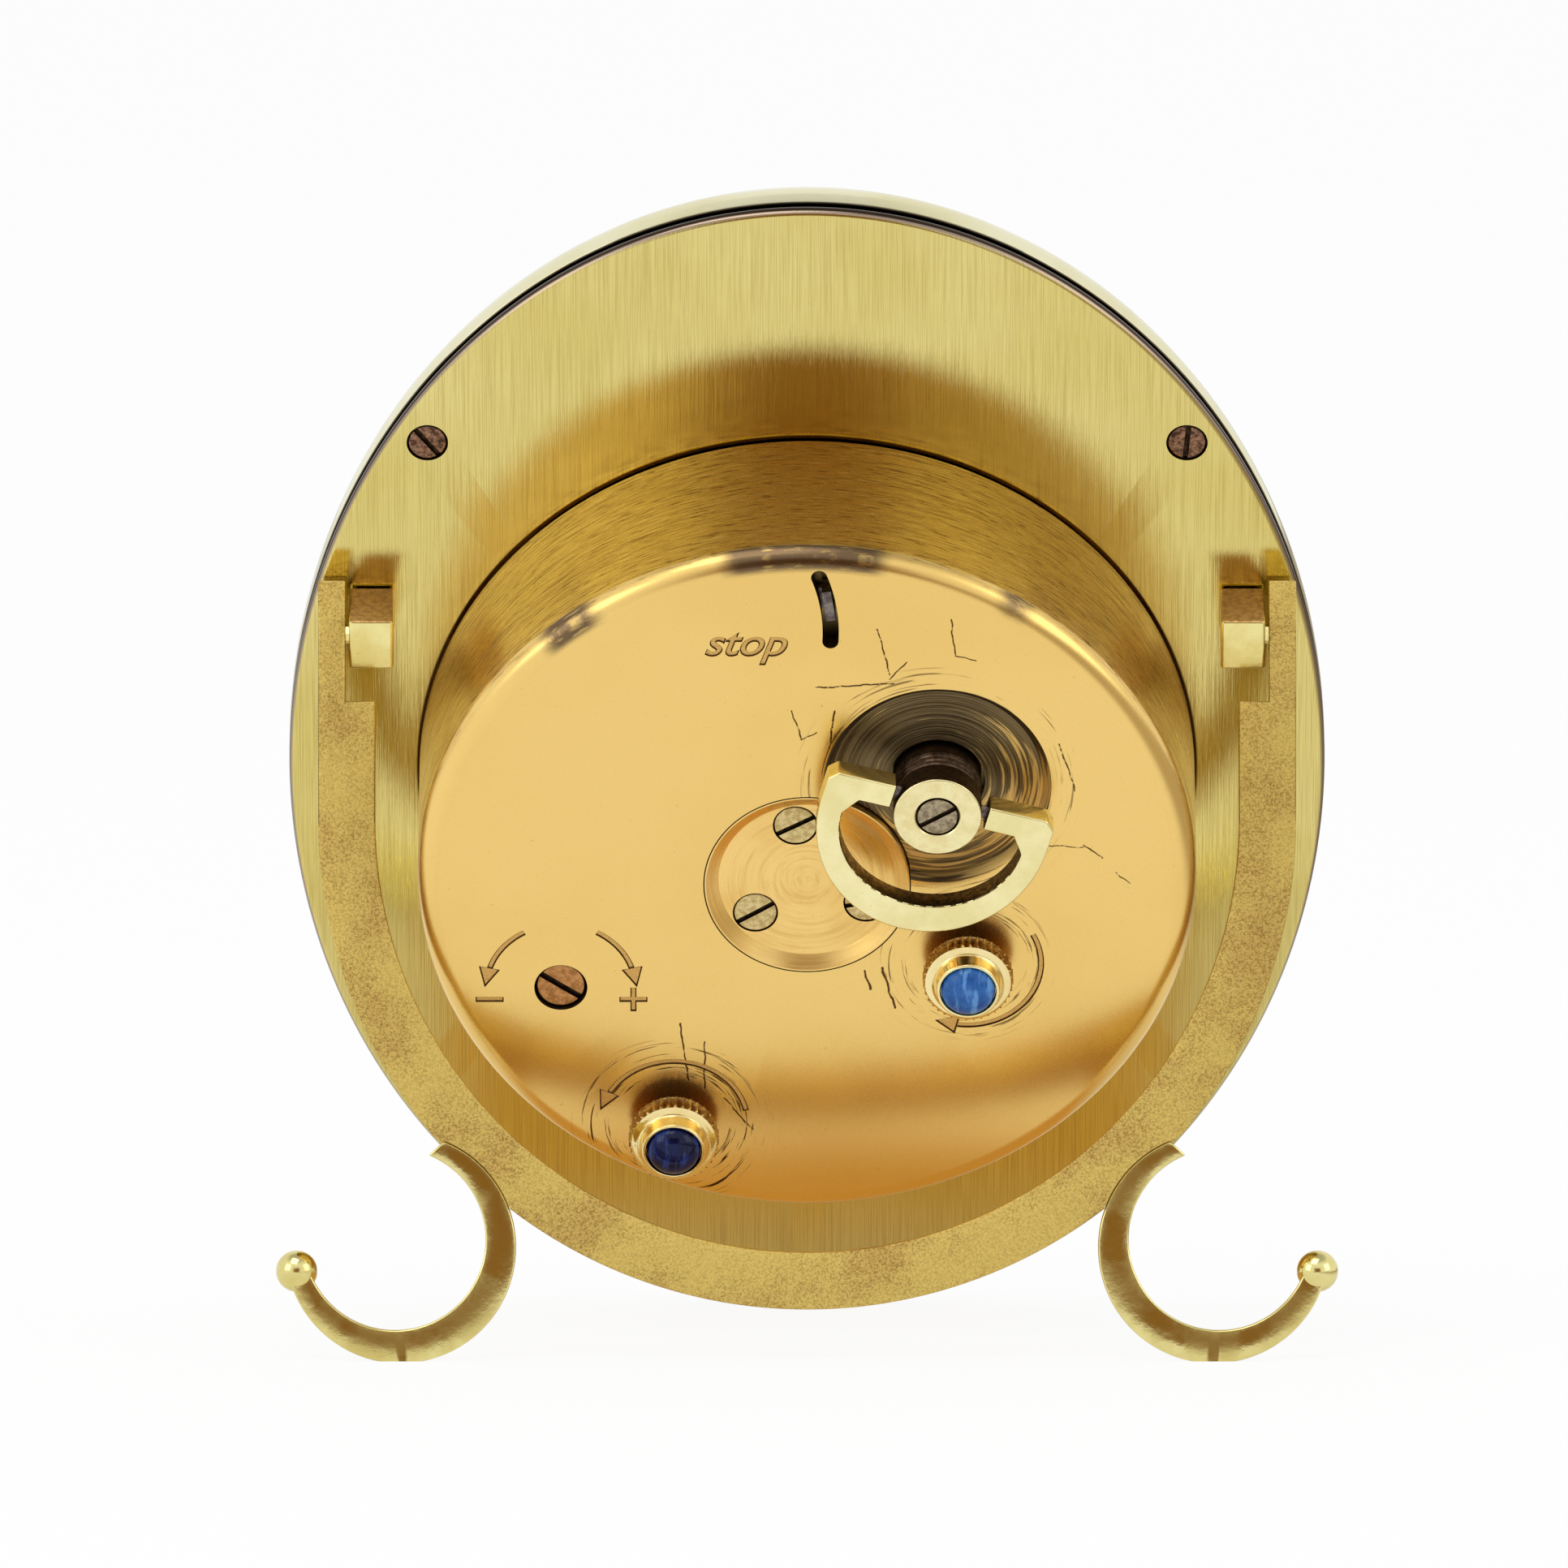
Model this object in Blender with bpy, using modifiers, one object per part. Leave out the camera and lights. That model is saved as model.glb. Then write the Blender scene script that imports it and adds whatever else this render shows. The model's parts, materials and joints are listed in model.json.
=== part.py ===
"""Oval gilt alarm clock for travel, standing on its open strut.

The clock is drawn as it is seen from behind, in the frame of its back plate:
X runs to the right, Y up the plate and Z out of the plate's back face, which
lies at Z zero. The strut is drawn in a frame on the hinge axis, the winding
key in a frame on the winding arbor. All of them hang from one empty, which
leans the clock back until the plate and the two feet stand on the floor.
"""

import math

import bmesh
import bpy
from mathutils import Vector

MM = 0.001
TAU = 2 * math.pi
MERGE_DISTANCE = 0.0001 * MM
FLAT_ANGLE = math.radians(0.1)

# Clearances between pieces
SEAT_GAP = 0.3 * MM
PIVOT_GAP = 0.15 * MM
HUB_GAP = 0.1 * MM
OVERRUN = 1.0 * MM
OVERLAP = 0.2 * MM

# Oval case: back plate, band, crystal and dial
CASE_SIDE_MARGIN = 10.1 * MM
CASE_END_MARGIN = 20.3 * MM
PLATE_THICKNESS = 1.2 * MM
PLATE_EDGE_RADIUS = 0.5 * MM
PLATE_EDGE_STEPS = 3
BAND_STRAIGHT = 1.1 * MM
BAND_CURVE_DEPTH = 4.8 * MM
BAND_CURVE_INSET = 6.2 * MM
BAND_WALL = 5.6 * MM
LIP_OVERHANG = 1.0 * MM
LIP_THICKNESS = 0.6 * MM
CRYSTAL_THICKNESS = 1.0 * MM
DIAL_THICKNESS = 0.5 * MM
DIAL_DEPTH = 2.0 * MM
OVAL_SIDES = 68
BAND_ARC_STEPS = 4

# Case screws
CASE_SCREW_ANGLE = math.radians(38.4)
CASE_SCREW_HEAD_RADIUS = 1.45 * MM
CASE_SCREW_HEAD_HEIGHT = 0.6 * MM
CASE_SCREW_SHANK_RADIUS = 0.8 * MM
CASE_SCREW_SHANK_LENGTH = 3.6 * MM
CASE_SCREW_TURNS = (0.75, 2.27, 1.35, 0.3)
SLOT_WIDTH = 0.45 * MM
SLOT_DEPTH = 0.3 * MM

# Movement can on the back plate
CAN_RADIUS = 30.0 * MM
CAN_DEPTH = 17.0 * MM
CAN_WALL = 1.4 * MM
CAN_EDGE_RADIUS = 1.7 * MM
SPIGOT_STEP = 0.7 * MM
CAN_SIDES = 56
CAN_EDGE_STEPS = 3

# Round cap let into the middle of the can's back
CAP_RADIUS = 7.9 * MM
CAP_CHAMFER_WIDTH = 0.85 * MM
CAP_RECESS = 0.75 * MM
CAP_RIM_WIDTH = 0.12 * MM
CAP_SCREW_CIRCLE = 5.0 * MM
CAP_SCREW_ANGLES = (1.75, 3.79, 5.85)
CAP_SCREW_TURNS = (0.5, 0.55, 0.2)
CAP_SCREW_HEAD_RADIUS = 1.65 * MM
CAP_SCREW_HEAD_HEIGHT = 0.6 * MM
CAP_SCREW_SHANK_RADIUS = 0.7 * MM

# Winding arbor, its dish in the can, and the folding key
WINDING_X = 10.0 * MM
WINDING_Y = 9.0 * MM
DISH_RADIUS = 8.7 * MM
DISH_DEPTH = 0.8 * MM
DISH_WALL_SLOPE = 0.6 * MM
KEY_TURN = math.radians(-15.5)
KEY_RADIUS = 3.4 * MM
KEY_HEIGHT = 4.5 * MM
KEY_RIB_DEPTH = 0.25 * MM
KEY_RIB_PITCH = 0.6 * MM
KEY_RIBS = 3
KEY_SCREW_RADIUS = 1.55 * MM
KEY_SCREW_HEIGHT = 0.7 * MM
KEY_SCREW_TURN = 0.8
BOW_THICKNESS = 2.0 * MM
BOW_DROP = 0.2 * MM
BOW_HALF_WIDTH = 9.0 * MM
BOW_LENGTH = 10.7 * MM
BOW_BAR_TOP = 1.7 * MM
BOW_BAR_HEIGHT = 2.0 * MM
BOW_CORNER = 0.7 * MM
BOW_SIDE_WIDTH = 1.9 * MM
BOW_FOOT_WIDTH = 2.4 * MM
BOW_PIN_RADIUS = 0.5 * MM
BOW_PIN_DEPTH = 1.0 * MM
BOW_ARC_STEPS = 18

# Setting crowns with their stones
TIME_X = 12.4 * MM
TIME_Y = -7.2 * MM
ALARM_X = -10.3 * MM
ALARM_Y = -21.9 * MM
CROWN_RADIUS = 3.5 * MM
CROWN_LIFT = 1.4 * MM
CROWN_SKIRT = 1.5 * MM
CROWN_EDGE = 0.15 * MM
CROWN_TOP_RADIUS = 3.2 * MM
CROWN_COLLAR_HEIGHT = 1.2 * MM
CROWN_COLLAR_WALL = 0.25 * MM
CROWN_COLLAR_FLARE = 0.25 * MM
KNURL_DEPTH = 0.28 * MM
KNURLS = 22
STONE_RADIUS = 2.1 * MM
STONE_HEIGHT = 1.5 * MM
STONE_SEAT = 0.6 * MM
STONE_STEPS = 5
SETTING_ARBOR_RADIUS = 1.2 * MM

# Regulator screw and index, stop lever
REGULATOR_X = -19.0 * MM
REGULATOR_Y = -9.4 * MM
REGULATOR_HEAD_RADIUS = 1.87 * MM
REGULATOR_HOLE_GAP = 0.18 * MM
REGULATOR_HEAD_HEIGHT = 0.8 * MM
REGULATOR_SUNK = 0.3 * MM
REGULATOR_SHANK_RADIUS = 0.8 * MM
REGULATOR_COLLAR_RADIUS = 1.0 * MM
INDEX_RING_WIDTH = 1.0 * MM
INDEX_TAIL_WIDTH = 1.2 * MM
INDEX_FORK_WIDTH = 0.9 * MM
REGULATOR_TURN = -0.6
STOP_PIVOT_X = -12.5 * MM
STOP_PIVOT_Y = 22.9 * MM
STOP_RADIUS = 14.3 * MM
STOP_SLOT_WIDTH = 1.25 * MM
STOP_SLOT_START = math.radians(-3.2)
STOP_SLOT_END = math.radians(20.3)
STOP_TAB_WIDTH = 0.7 * MM
STOP_TAB_LENGTH = 2.6 * MM
STOP_TAB_SUNK = 0.4 * MM
STOP_ARM_WIDTH = 1.8 * MM
LEVER_THICKNESS = 0.5 * MM
STUD_RADIUS = 0.85 * MM

# Hinge lugs and the strut
PIVOT_Y = 14.4 * MM
LUG_GAP = 1.9 * MM
LUG_WIDTH = 3.4 * MM
LUG_LENGTH = 4.3 * MM
LUG_HEIGHT = 5.3 * MM
HINGE_PIN_RADIUS = 0.75 * MM
HINGE_PIN_GRIP = 2.4 * MM
STRUT_ANGLE = math.radians(32.0)
STRUT_THICKNESS = 2.6 * MM
ARM_WIDTH = 2.1 * MM
STRUT_WIDTH = 4.4 * MM
STRUT_HEAD = 4.1 * MM
STRUT_STEP_BELOW_PIVOT = 5.2 * MM
STRUT_ARC_STEPS = 38

# Scroll feet let into the edge of the strut
FOOT_STAND_OFF = 7.627 * MM
FOOT_ANGLE = math.radians(45.447)
FOOT_INNER_RADIUS = 7.0 * MM
FOOT_OUTER_RADIUS = 8.9 * MM
FOOT_OFFSET = 0.8 * MM
FOOT_OFFSET_ANGLE = math.radians(235)
FOOT_START = math.radians(112)
FOOT_END = math.radians(342)
FOOT_THICKNESS = 2.2 * MM
FOOT_BALL_RADIUS = 1.6 * MM
FOOT_STEPS = 24
FLOOR_CUT = 0.25 * MM

# Movement plates and pillars
MAIN_PLATE_BACK = 3.0 * MM
MAIN_PLATE_THICKNESS = 1.4 * MM
REAR_PLATE_THICKNESS = 1.2 * MM
REAR_PLATE_GAP = 1.0 * MM
LEVER_SPACE = 1.2 * MM
PILLAR_INSET = 3.0 * MM
PILLAR_RADIUS = 1.5 * MM
PILLAR_ANGLES = tuple(math.radians(a) for a in (120, 220, 284, 340))
PLATE_SIDES = 40
ARBOR_SIDES = 8
FINE_SIDES = 16
ROUND_SIDES = 36

# Going train
ARBOR_RADIUS = 0.5 * MM
BARREL_TEETH = 24
CENTRE_PINION_LEAVES = 6
CENTRE_TEETH = 30
THIRD_LEAVES = 6
THIRD_X = -4.9 * MM
THIRD_Y = -8.5 * MM
THIRD_TEETH = 24
FOURTH_LEAVES = 6
FOURTH_X = -11.8 * MM
FOURTH_Y = -4.85 * MM
FOURTH_TEETH = 24
ESCAPE_LEAVES = 6
ESCAPE_X = -9.55 * MM
ESCAPE_Y = 1.35 * MM
ESCAPE_TEETH = 15
ESCAPE_RADIUS = 3.8 * MM
ESCAPE_TOOTH_DEPTH = 0.9 * MM
WHEEL_THICKNESS = 0.7 * MM
PINION_MARGIN = 0.3 * MM
BARREL_GEAR_BACK = 5.2 * MM
BARREL_GEAR_THICKNESS = 1.2 * MM
BARREL_WALL = 0.8 * MM
BARREL_HEIGHT = 6.4 * MM
BARREL_SIDES = 28
BARREL_ROOT_MARGIN = 0.4 * MM
BARREL_ARBOR_RADIUS = 1.5 * MM
BARREL_HUB_RADIUS = 3.0 * MM
CENTRE_WHEEL_BACK = 11.9 * MM
THIRD_WHEEL_BACK = 9.3 * MM
FOURTH_WHEEL_BACK = 6.5 * MM
ESCAPE_WHEEL_BACK = 8.5 * MM
MAINSPRING_THICKNESS = 0.45 * MM
MAINSPRING_TURNS = 3
TOOTH_ROOT_SHARE = 0.24
TOOTH_TIP_SHARE = 0.1
SAW_SHARES = (0, 0.12, 0.3)
MOST_LEAVES = 10
ADDENDUM_SHARE = 0.7
DEDENDUM_SHARE = 1.15

# Pallets, balance and hairspring
BALANCE_X = -17.5 * MM
BALANCE_Y = 3.5 * MM
BALANCE_RADIUS = 6.0 * MM
BALANCE_RIM_WIDTH = 0.9 * MM
BALANCE_RIM_HEIGHT = 0.8 * MM
BALANCE_BACK = 10.6 * MM
BALANCE_ARM_WIDTH = 1.1 * MM
BALANCE_ARM_TURN = 1.0
BALANCE_STAFF_RADIUS = 0.4 * MM
ROLLER_RADIUS = 0.6 * MM
PALLET_REACH = 5.2 * MM
PALLET_SPAN = 3.4 * MM
PALLET_WIDTH = 0.5 * MM
PALLET_DROP = 2.0 * MM
FORK_LENGTH = 2.1 * MM
FORK_WIDTH = 1.0 * MM
FORK_SLOT_WIDTH = 0.4 * MM
FORK_SLOT_DEPTH = 0.5 * MM
HAIRSPRING_INNER = 0.8 * MM
HAIRSPRING_OUTER = 3.4 * MM
HAIRSPRING_THICKNESS = 0.25 * MM
HAIRSPRING_HEIGHT = 0.4 * MM
HAIRSPRING_TURNS = 3
SPIRAL_STEPS_PER_TURN = 12

# Alarm: strike wheel and hammer
STRIKE_X = -11.0 * MM
STRIKE_Y = 15.0 * MM
STRIKE_RADIUS = 4.2 * MM
STRIKE_TOOTH_DEPTH = 1.0 * MM
STRIKE_TEETH = 12
STRIKE_BACK = 7.0 * MM
HAMMER_X = -3.5 * MM
HAMMER_Y = 17.5 * MM
HAMMER_ARM_LENGTH = 7.5 * MM
HAMMER_ARM_ANGLE = math.radians(105)
HAMMER_HEAD_RADIUS = 2.2 * MM
HAMMER_ARM_WIDTH = 1.0 * MM
HAMMER_BOSS_RADIUS = 1.3 * MM
HAMMER_THICKNESS = 1.2 * MM
HAMMER_FINGER_GAP = 0.4 * MM

# Motion work behind the dial, and the hands
CANNON_TEETH = 8
MINUTE_TEETH = 24
MINUTE_LEAVES = 6
HOUR_TEETH = 24
ALARM_TEETH = 20
IDLER_TEETH = 15
ALARM_LEAVES = 8
MOTION_WHEEL_THICKNESS = 0.7 * MM
MOTION_STEP = 0.4 * MM
CANNON_RADIUS = 0.9 * MM
HOUR_TUBE_RADIUS = 1.5 * MM
ALARM_TUBE_RADIUS = 2.1 * MM
TUBE_SIDES = 16
MOTION_PIVOT_RADIUS = 0.6 * MM
HAND_THICKNESS = 0.35 * MM
HAND_PITCH = 0.75 * MM
TUBE_TIP = 0.1 * MM
HAND_HUB_WIDTH = 1.0 * MM
MINUTE_HAND_LENGTH = 29.0 * MM
MINUTE_HAND_WIDTH = 1.7 * MM
HOUR_HAND_LENGTH = 20.0 * MM
HOUR_HAND_WIDTH = 2.4 * MM
ALARM_HAND_LENGTH = 15.0 * MM
ALARM_HAND_WIDTH = 1.1 * MM
HAND_WAIST_SHARE = 0.35
HAND_BELLY_SHARE = 0.68
HAND_TIP_SHARE = 0.25
MINUTE_HAND_TURN = math.radians(-60)
HOUR_HAND_TURN = math.radians(55)
ALARM_HAND_TURN = math.radians(150)

# Colour, roughness and metallic value of each finish
FINISHES = {
    "polished_brass": ((0.80, 0.70, 0.36), 0.18, 1.0),
    "satin_gilt": ((0.86, 0.62, 0.25), 0.38, 1.0),
    "cast_gilt": ((0.72, 0.58, 0.28), 0.62, 1.0),
    "plain_brass": ((0.76, 0.60, 0.30), 0.35, 1.0),
    "pale_brass": ((0.86, 0.80, 0.52), 0.22, 1.0),
    "blued_steel": ((0.05, 0.07, 0.20), 0.30, 1.0),
    "dark_steel": ((0.20, 0.18, 0.17), 0.40, 1.0),
    "bronze_screw": ((0.42, 0.22, 0.14), 0.45, 1.0),
    "light_blue_stone": ((0.10, 0.27, 0.62), 0.08, 0.0),
    "dark_blue_stone": ((0.02, 0.04, 0.30), 0.06, 0.0),
    "cream_enamel": ((0.90, 0.87, 0.78), 0.40, 0.0),
    "clear_crystal": ((0.95, 0.97, 0.98), 0.03, 0.0),
}

# Sizes that follow from the can, so that case, lugs and strut keep round it
CASE_HALF_WIDTH = CAN_RADIUS + CASE_SIDE_MARGIN
CASE_HALF_HEIGHT = CAN_RADIUS + CASE_END_MARGIN
SPIGOT_RADIUS = CAN_RADIUS - SPIGOT_STEP
CAN_BORE = CAN_RADIUS - CAN_WALL
REAR_PLATE_RADIUS = CAN_BORE - REAR_PLATE_GAP
PILLAR_CIRCLE = REAR_PLATE_RADIUS - PILLAR_INSET
LUG_INNER_X = CAN_RADIUS + LUG_GAP
ARM_INNER_X = LUG_INNER_X + LUG_WIDTH + SEAT_GAP
STRUT_RADIUS = ARM_INNER_X + ARM_WIDTH
FOOT_X = (STRUT_RADIUS + FOOT_STAND_OFF) * math.cos(FOOT_ANGLE)
FOOT_BELOW_RING = (STRUT_RADIUS + FOOT_STAND_OFF) * math.sin(FOOT_ANGLE)

# Heights worked out from the sizes above
PLATE_FRONT = -PLATE_THICKNESS
BAND_BACK = PLATE_FRONT - SEAT_GAP
BAND_FRONT = BAND_BACK - BAND_STRAIGHT - BAND_CURVE_DEPTH
CRYSTAL_FRONT = BAND_FRONT + LIP_THICKNESS + SEAT_GAP
CRYSTAL_BACK = CRYSTAL_FRONT + CRYSTAL_THICKNESS
DIAL_BACK = -DIAL_DEPTH
DIAL_FRONT = DIAL_BACK - DIAL_THICKNESS
CAN_INSIDE = CAN_DEPTH - CAN_WALL
REAR_PLATE_BACK = CAN_INSIDE - LEVER_SPACE
REAR_PLATE_FRONT = REAR_PLATE_BACK - REAR_PLATE_THICKNESS
MAIN_PLATE_FRONT = MAIN_PLATE_BACK - MAIN_PLATE_THICKNESS
LEVER_FRONT = REAR_PLATE_BACK + SEAT_GAP
LEVER_BACK = LEVER_FRONT + LEVER_THICKNESS
ARBOR_FRONT = (MAIN_PLATE_FRONT + MAIN_PLATE_BACK) / 2
ARBOR_BACK = (REAR_PLATE_FRONT + REAR_PLATE_BACK) / 2
BARREL_GEAR_FRONT = BARREL_GEAR_BACK - BARREL_GEAR_THICKNESS
BARREL_TOP = BARREL_GEAR_FRONT + BARREL_HEIGHT
KEY_TOP = CAN_DEPTH + KEY_HEIGHT
BOW_TOP = KEY_TOP - BOW_DROP
BOW_PIVOT_Z = BOW_TOP - BOW_THICKNESS / 2
BOW_PIVOT_Y = BOW_BAR_TOP - BOW_BAR_HEIGHT / 2
CROWN_FRONT = CAN_DEPTH + CROWN_LIFT
CROWN_TOP = CROWN_FRONT + CROWN_SKIRT + CROWN_COLLAR_HEIGHT
MINUTE_WHEEL_BACK = MAIN_PLATE_FRONT - MOTION_STEP
MINUTE_WHEEL_FRONT = MINUTE_WHEEL_BACK - MOTION_WHEEL_THICKNESS
HOUR_WHEEL_BACK = MINUTE_WHEEL_FRONT - MOTION_STEP
HOUR_WHEEL_FRONT = HOUR_WHEEL_BACK - MOTION_WHEEL_THICKNESS
ALARM_WHEEL_BACK = HOUR_WHEEL_FRONT - MOTION_STEP
ALARM_WHEEL_FRONT = ALARM_WHEEL_BACK - MOTION_WHEEL_THICKNESS
ALARM_HAND_BACK = DIAL_FRONT - SEAT_GAP
HOUR_HAND_BACK = ALARM_HAND_BACK - HAND_PITCH
MINUTE_HAND_BACK = HOUR_HAND_BACK - HAND_PITCH

# Hinge height at which the strut's heel meets the plate at its open angle
HINGE_Z = (
    STRUT_HEAD * math.sin(STRUT_ANGLE)
    + STRUT_THICKNESS / 2 * math.cos(STRUT_ANGLE)
    + SEAT_GAP
)
RING_BELOW_PIVOT = PIVOT_Y

# Lean at which the plate's lower edge and the feet reach the floor together
FOOT_BOTTOM = (
    FOOT_BELOW_RING + FOOT_OUTER_RADIUS - FOOT_OFFSET * math.sin(FOOT_OFFSET_ANGLE)
)
FOOT_REACH = RING_BELOW_PIVOT + FOOT_BOTTOM
FLOOR_Y = PIVOT_Y - FOOT_REACH * math.cos(STRUT_ANGLE)
FLOOR_Z = HINGE_Z + FOOT_REACH * math.sin(STRUT_ANGLE)
EDGE_Z = -PLATE_EDGE_RADIUS
LEAN = math.atan2(FLOOR_Y + CASE_HALF_HEIGHT, FLOOR_Z - EDGE_Z)


def new_collection(name):
    collection = bpy.data.collections.new(name)
    bpy.context.scene.collection.children.link(collection)
    return collection


def new_material(name):
    colour, roughness, metallic = FINISHES[name]
    material = bpy.data.materials.new(name)
    material.use_nodes = True
    shader = material.node_tree.nodes["Principled BSDF"]
    shader.inputs["Base Color"].default_value = (*colour, 1.0)
    shader.inputs["Roughness"].default_value = roughness
    shader.inputs["Metallic"].default_value = metallic
    return material


for leftover in list(bpy.data.objects):
    bpy.data.objects.remove(leftover, do_unlink=True)

CLOCK = new_collection("travel_alarm_clock")
CUTTERS = new_collection("cutters")
MATERIALS = {name: new_material(name) for name in FINISHES}


def new_frame(name, parent=None, place=(0, 0, 0), rotation=(0, 0, 0)):
    """Adds an empty that other pieces hang from."""
    frame = bpy.data.objects.new(name, None)
    frame.parent = parent
    frame.location = place
    frame.rotation_euler = rotation
    CLOCK.objects.link(frame)
    return frame


ORIGIN = new_frame("clock_origin")
CASE = new_frame("case_frame", ORIGIN, rotation=(math.pi / 2 + LEAN, 0, math.pi))
STRUT = new_frame("strut_frame", CASE, (0, PIVOT_Y, HINGE_Z), (-STRUT_ANGLE, 0, 0))
KEY = new_frame("key_frame", CASE, (WINDING_X, WINDING_Y, 0), (0, 0, KEY_TURN))
BOW = new_frame("bow_frame", KEY, (0, BOW_PIVOT_Y, BOW_PIVOT_Z))


def place_object(name, mesh, frame, place, finish, turn=0.0):
    """Puts a mesh into the scene as a piece, or as a cutter when it has no finish."""
    piece = bpy.data.objects.new(name, mesh)
    piece.parent = frame
    piece.location = place
    piece.rotation_euler = (0, 0, turn)
    if finish is None:
        piece.hide_render = True
        piece.display_type = "WIRE"
        CUTTERS.objects.link(piece)
    else:
        mesh.materials.append(MATERIALS[finish])
        CLOCK.objects.link(piece)
    return piece


def modify_with(piece, other, operation):
    modifier = piece.modifiers.new(f"{operation.title()} {other.name}", "BOOLEAN")
    modifier.operation = operation
    modifier.solver = "EXACT"
    modifier.object = other


def cut(piece, *cutters):
    for cutter in cutters:
        modify_with(piece, cutter, "DIFFERENCE")


def join(piece, *additions):
    for addition in additions:
        modify_with(piece, addition, "UNION")


def mesh_of(name, bm):
    mesh = bpy.data.meshes.new(name)
    bm.to_mesh(mesh)
    bm.free()
    return mesh


def turned(name, profile, frame, place, finish, sides=ARBOR_SIDES, closed=False, turn=0.0):
    """Turns a profile of (radius, height) points about Z. It runs down the outer side."""
    bm = bmesh.new()
    points = [bm.verts.new((radius, 0, height)) for radius, height in profile]
    for first, second in zip(points, points[1:]):
        bm.edges.new((first, second))
    if closed:
        bm.edges.new((points[-1], points[0]))
    piece = place_object(name, mesh_of(name, bm), frame, place, finish, turn)
    screw = piece.modifiers.new("Turn", "SCREW")
    screw.steps = screw.render_steps = sides
    screw.use_merge_vertices = True
    screw.merge_threshold = MERGE_DISTANCE
    screw.use_smooth_shade = False
    return piece


def rod(name, radius, low, high, frame, place, finish, sides=ARBOR_SIDES, turn=0.0):
    """A plain round bar from height low to height high."""
    profile = [(0, high), (radius, high), (radius, low), (0, low)]
    return turned(name, profile, frame, place, finish, sides, turn=turn)


def drill(radius, place, frame=None, low=-OVERRUN, high=OVERRUN, name="drill"):
    return rod(name, radius, low, high, frame or CASE, (*place, 0), None)


def flat(name, outline, low, high, frame, place, finish, turn=0.0, holes=()):
    """A flat outline, with any holes, as thick as from height low to height high."""
    curve = bpy.data.curves.new(name, "CURVE")
    curve.dimensions = "2D"
    curve.fill_mode = "BOTH"
    curve.extrude = (high - low) / 2
    for points in (outline, *holes):
        spline = curve.splines.new("POLY")
        spline.points.add(len(points) - 1)
        for target, (x, y) in zip(spline.points, points):
            target.co = (x, y, 0, 1)
        spline.use_cyclic_u = True
    drawn = bpy.data.objects.new(name, curve)
    CLOCK.objects.link(drawn)
    graph = bpy.context.evaluated_depsgraph_get()
    mesh = bpy.data.meshes.new_from_object(drawn.evaluated_get(graph))
    bpy.data.objects.remove(drawn)
    bpy.data.curves.remove(curve)
    bm = bmesh.new()
    bm.from_mesh(mesh)
    bmesh.ops.remove_doubles(bm, verts=bm.verts, dist=MERGE_DISTANCE)
    bmesh.ops.recalc_face_normals(bm, faces=bm.faces)
    bmesh.ops.dissolve_limit(bm, angle_limit=FLAT_ANGLE, verts=bm.verts, edges=bm.edges)
    bmesh.ops.translate(bm, verts=bm.verts, vec=(0, 0, (high + low) / 2))
    bm.to_mesh(mesh)
    bm.free()
    mesh.materials.clear()
    mesh.name = name
    return place_object(name, mesh, frame, place, finish, turn)


def block(name, low, high, frame, place, finish, turn=0.0):
    """A box between two corners."""
    bm = bmesh.new()
    bmesh.ops.create_cube(bm, size=1)
    low, high = Vector(low), Vector(high)
    bmesh.ops.scale(bm, verts=bm.verts, vec=high - low)
    bmesh.ops.translate(bm, verts=bm.verts, vec=(high + low) / 2)
    return place_object(name, mesh_of(name, bm), frame, place, finish, turn)


def loft(name, rings, frame, place, finish, closed):
    """Skins rings of equally many points, as a closed ring or as a solid with two ends."""
    bm = bmesh.new()
    loops = [[bm.verts.new(point) for point in ring] for ring in rings]
    following = loops[1:] + loops[:1] if closed else loops[1:]
    for upper, lower in zip(loops, following):
        for i, corner in enumerate(upper):
            before = i - 1
            bm.faces.new((upper[before], lower[before], lower[i], corner))
    if not closed:
        bm.faces.new(loops[0])
        bm.faces.new(loops[-1])
    bmesh.ops.recalc_face_normals(bm, faces=bm.faces)
    return place_object(name, mesh_of(name, bm), frame, place, finish)


def polar(radius, angle, centre=(0, 0)):
    return (centre[0] + radius * math.cos(angle), centre[1] + radius * math.sin(angle))


def arc(radius, start, end, steps, centre=(0, 0)):
    """Points along an arc, both ends included."""
    span = end - start
    return [polar(radius, start + span * i / steps, centre) for i in range(steps + 1)]


def circle(radius, sides=FINE_SIDES, centre=(0, 0)):
    return [polar(radius, TAU * i / sides, centre) for i in range(sides)]


def oval_ring(inset, height):
    """The case's oval drawn in by inset, at one height."""
    width, length = CASE_HALF_WIDTH - inset, CASE_HALF_HEIGHT - inset
    angles = [TAU * i / OVAL_SIDES for i in range(OVAL_SIDES)]
    return [(width * math.cos(a), length * math.sin(a), height) for a in angles]


def round_ring(radius, height, sides):
    return [(*polar(radius, TAU * i / sides), height) for i in range(sides)]


def back_plate():
    """Oval plate with a rounded edge and a round hole for the can's spigot."""
    rim = []
    for angle in (math.pi * i / PLATE_EDGE_STEPS for i in range(PLATE_EDGE_STEPS + 1)):
        inset = PLATE_EDGE_RADIUS * (1 - math.sin(angle))
        middle = -PLATE_THICKNESS / 2
        rim.append(oval_ring(inset, middle + PLATE_THICKNESS / 2 * math.cos(angle)))
    hole = SPIGOT_RADIUS + SEAT_GAP
    bore = [round_ring(hole, PLATE_FRONT, OVAL_SIDES), round_ring(hole, 0, OVAL_SIDES)]
    plate = loft("back_plate", rim + bore, CASE, (0, 0, 0), "polished_brass", True)
    for place in case_screw_places():
        cut(plate, case_screw_hole(place))
    cut(plate, floor_cutter())
    return plate


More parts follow.
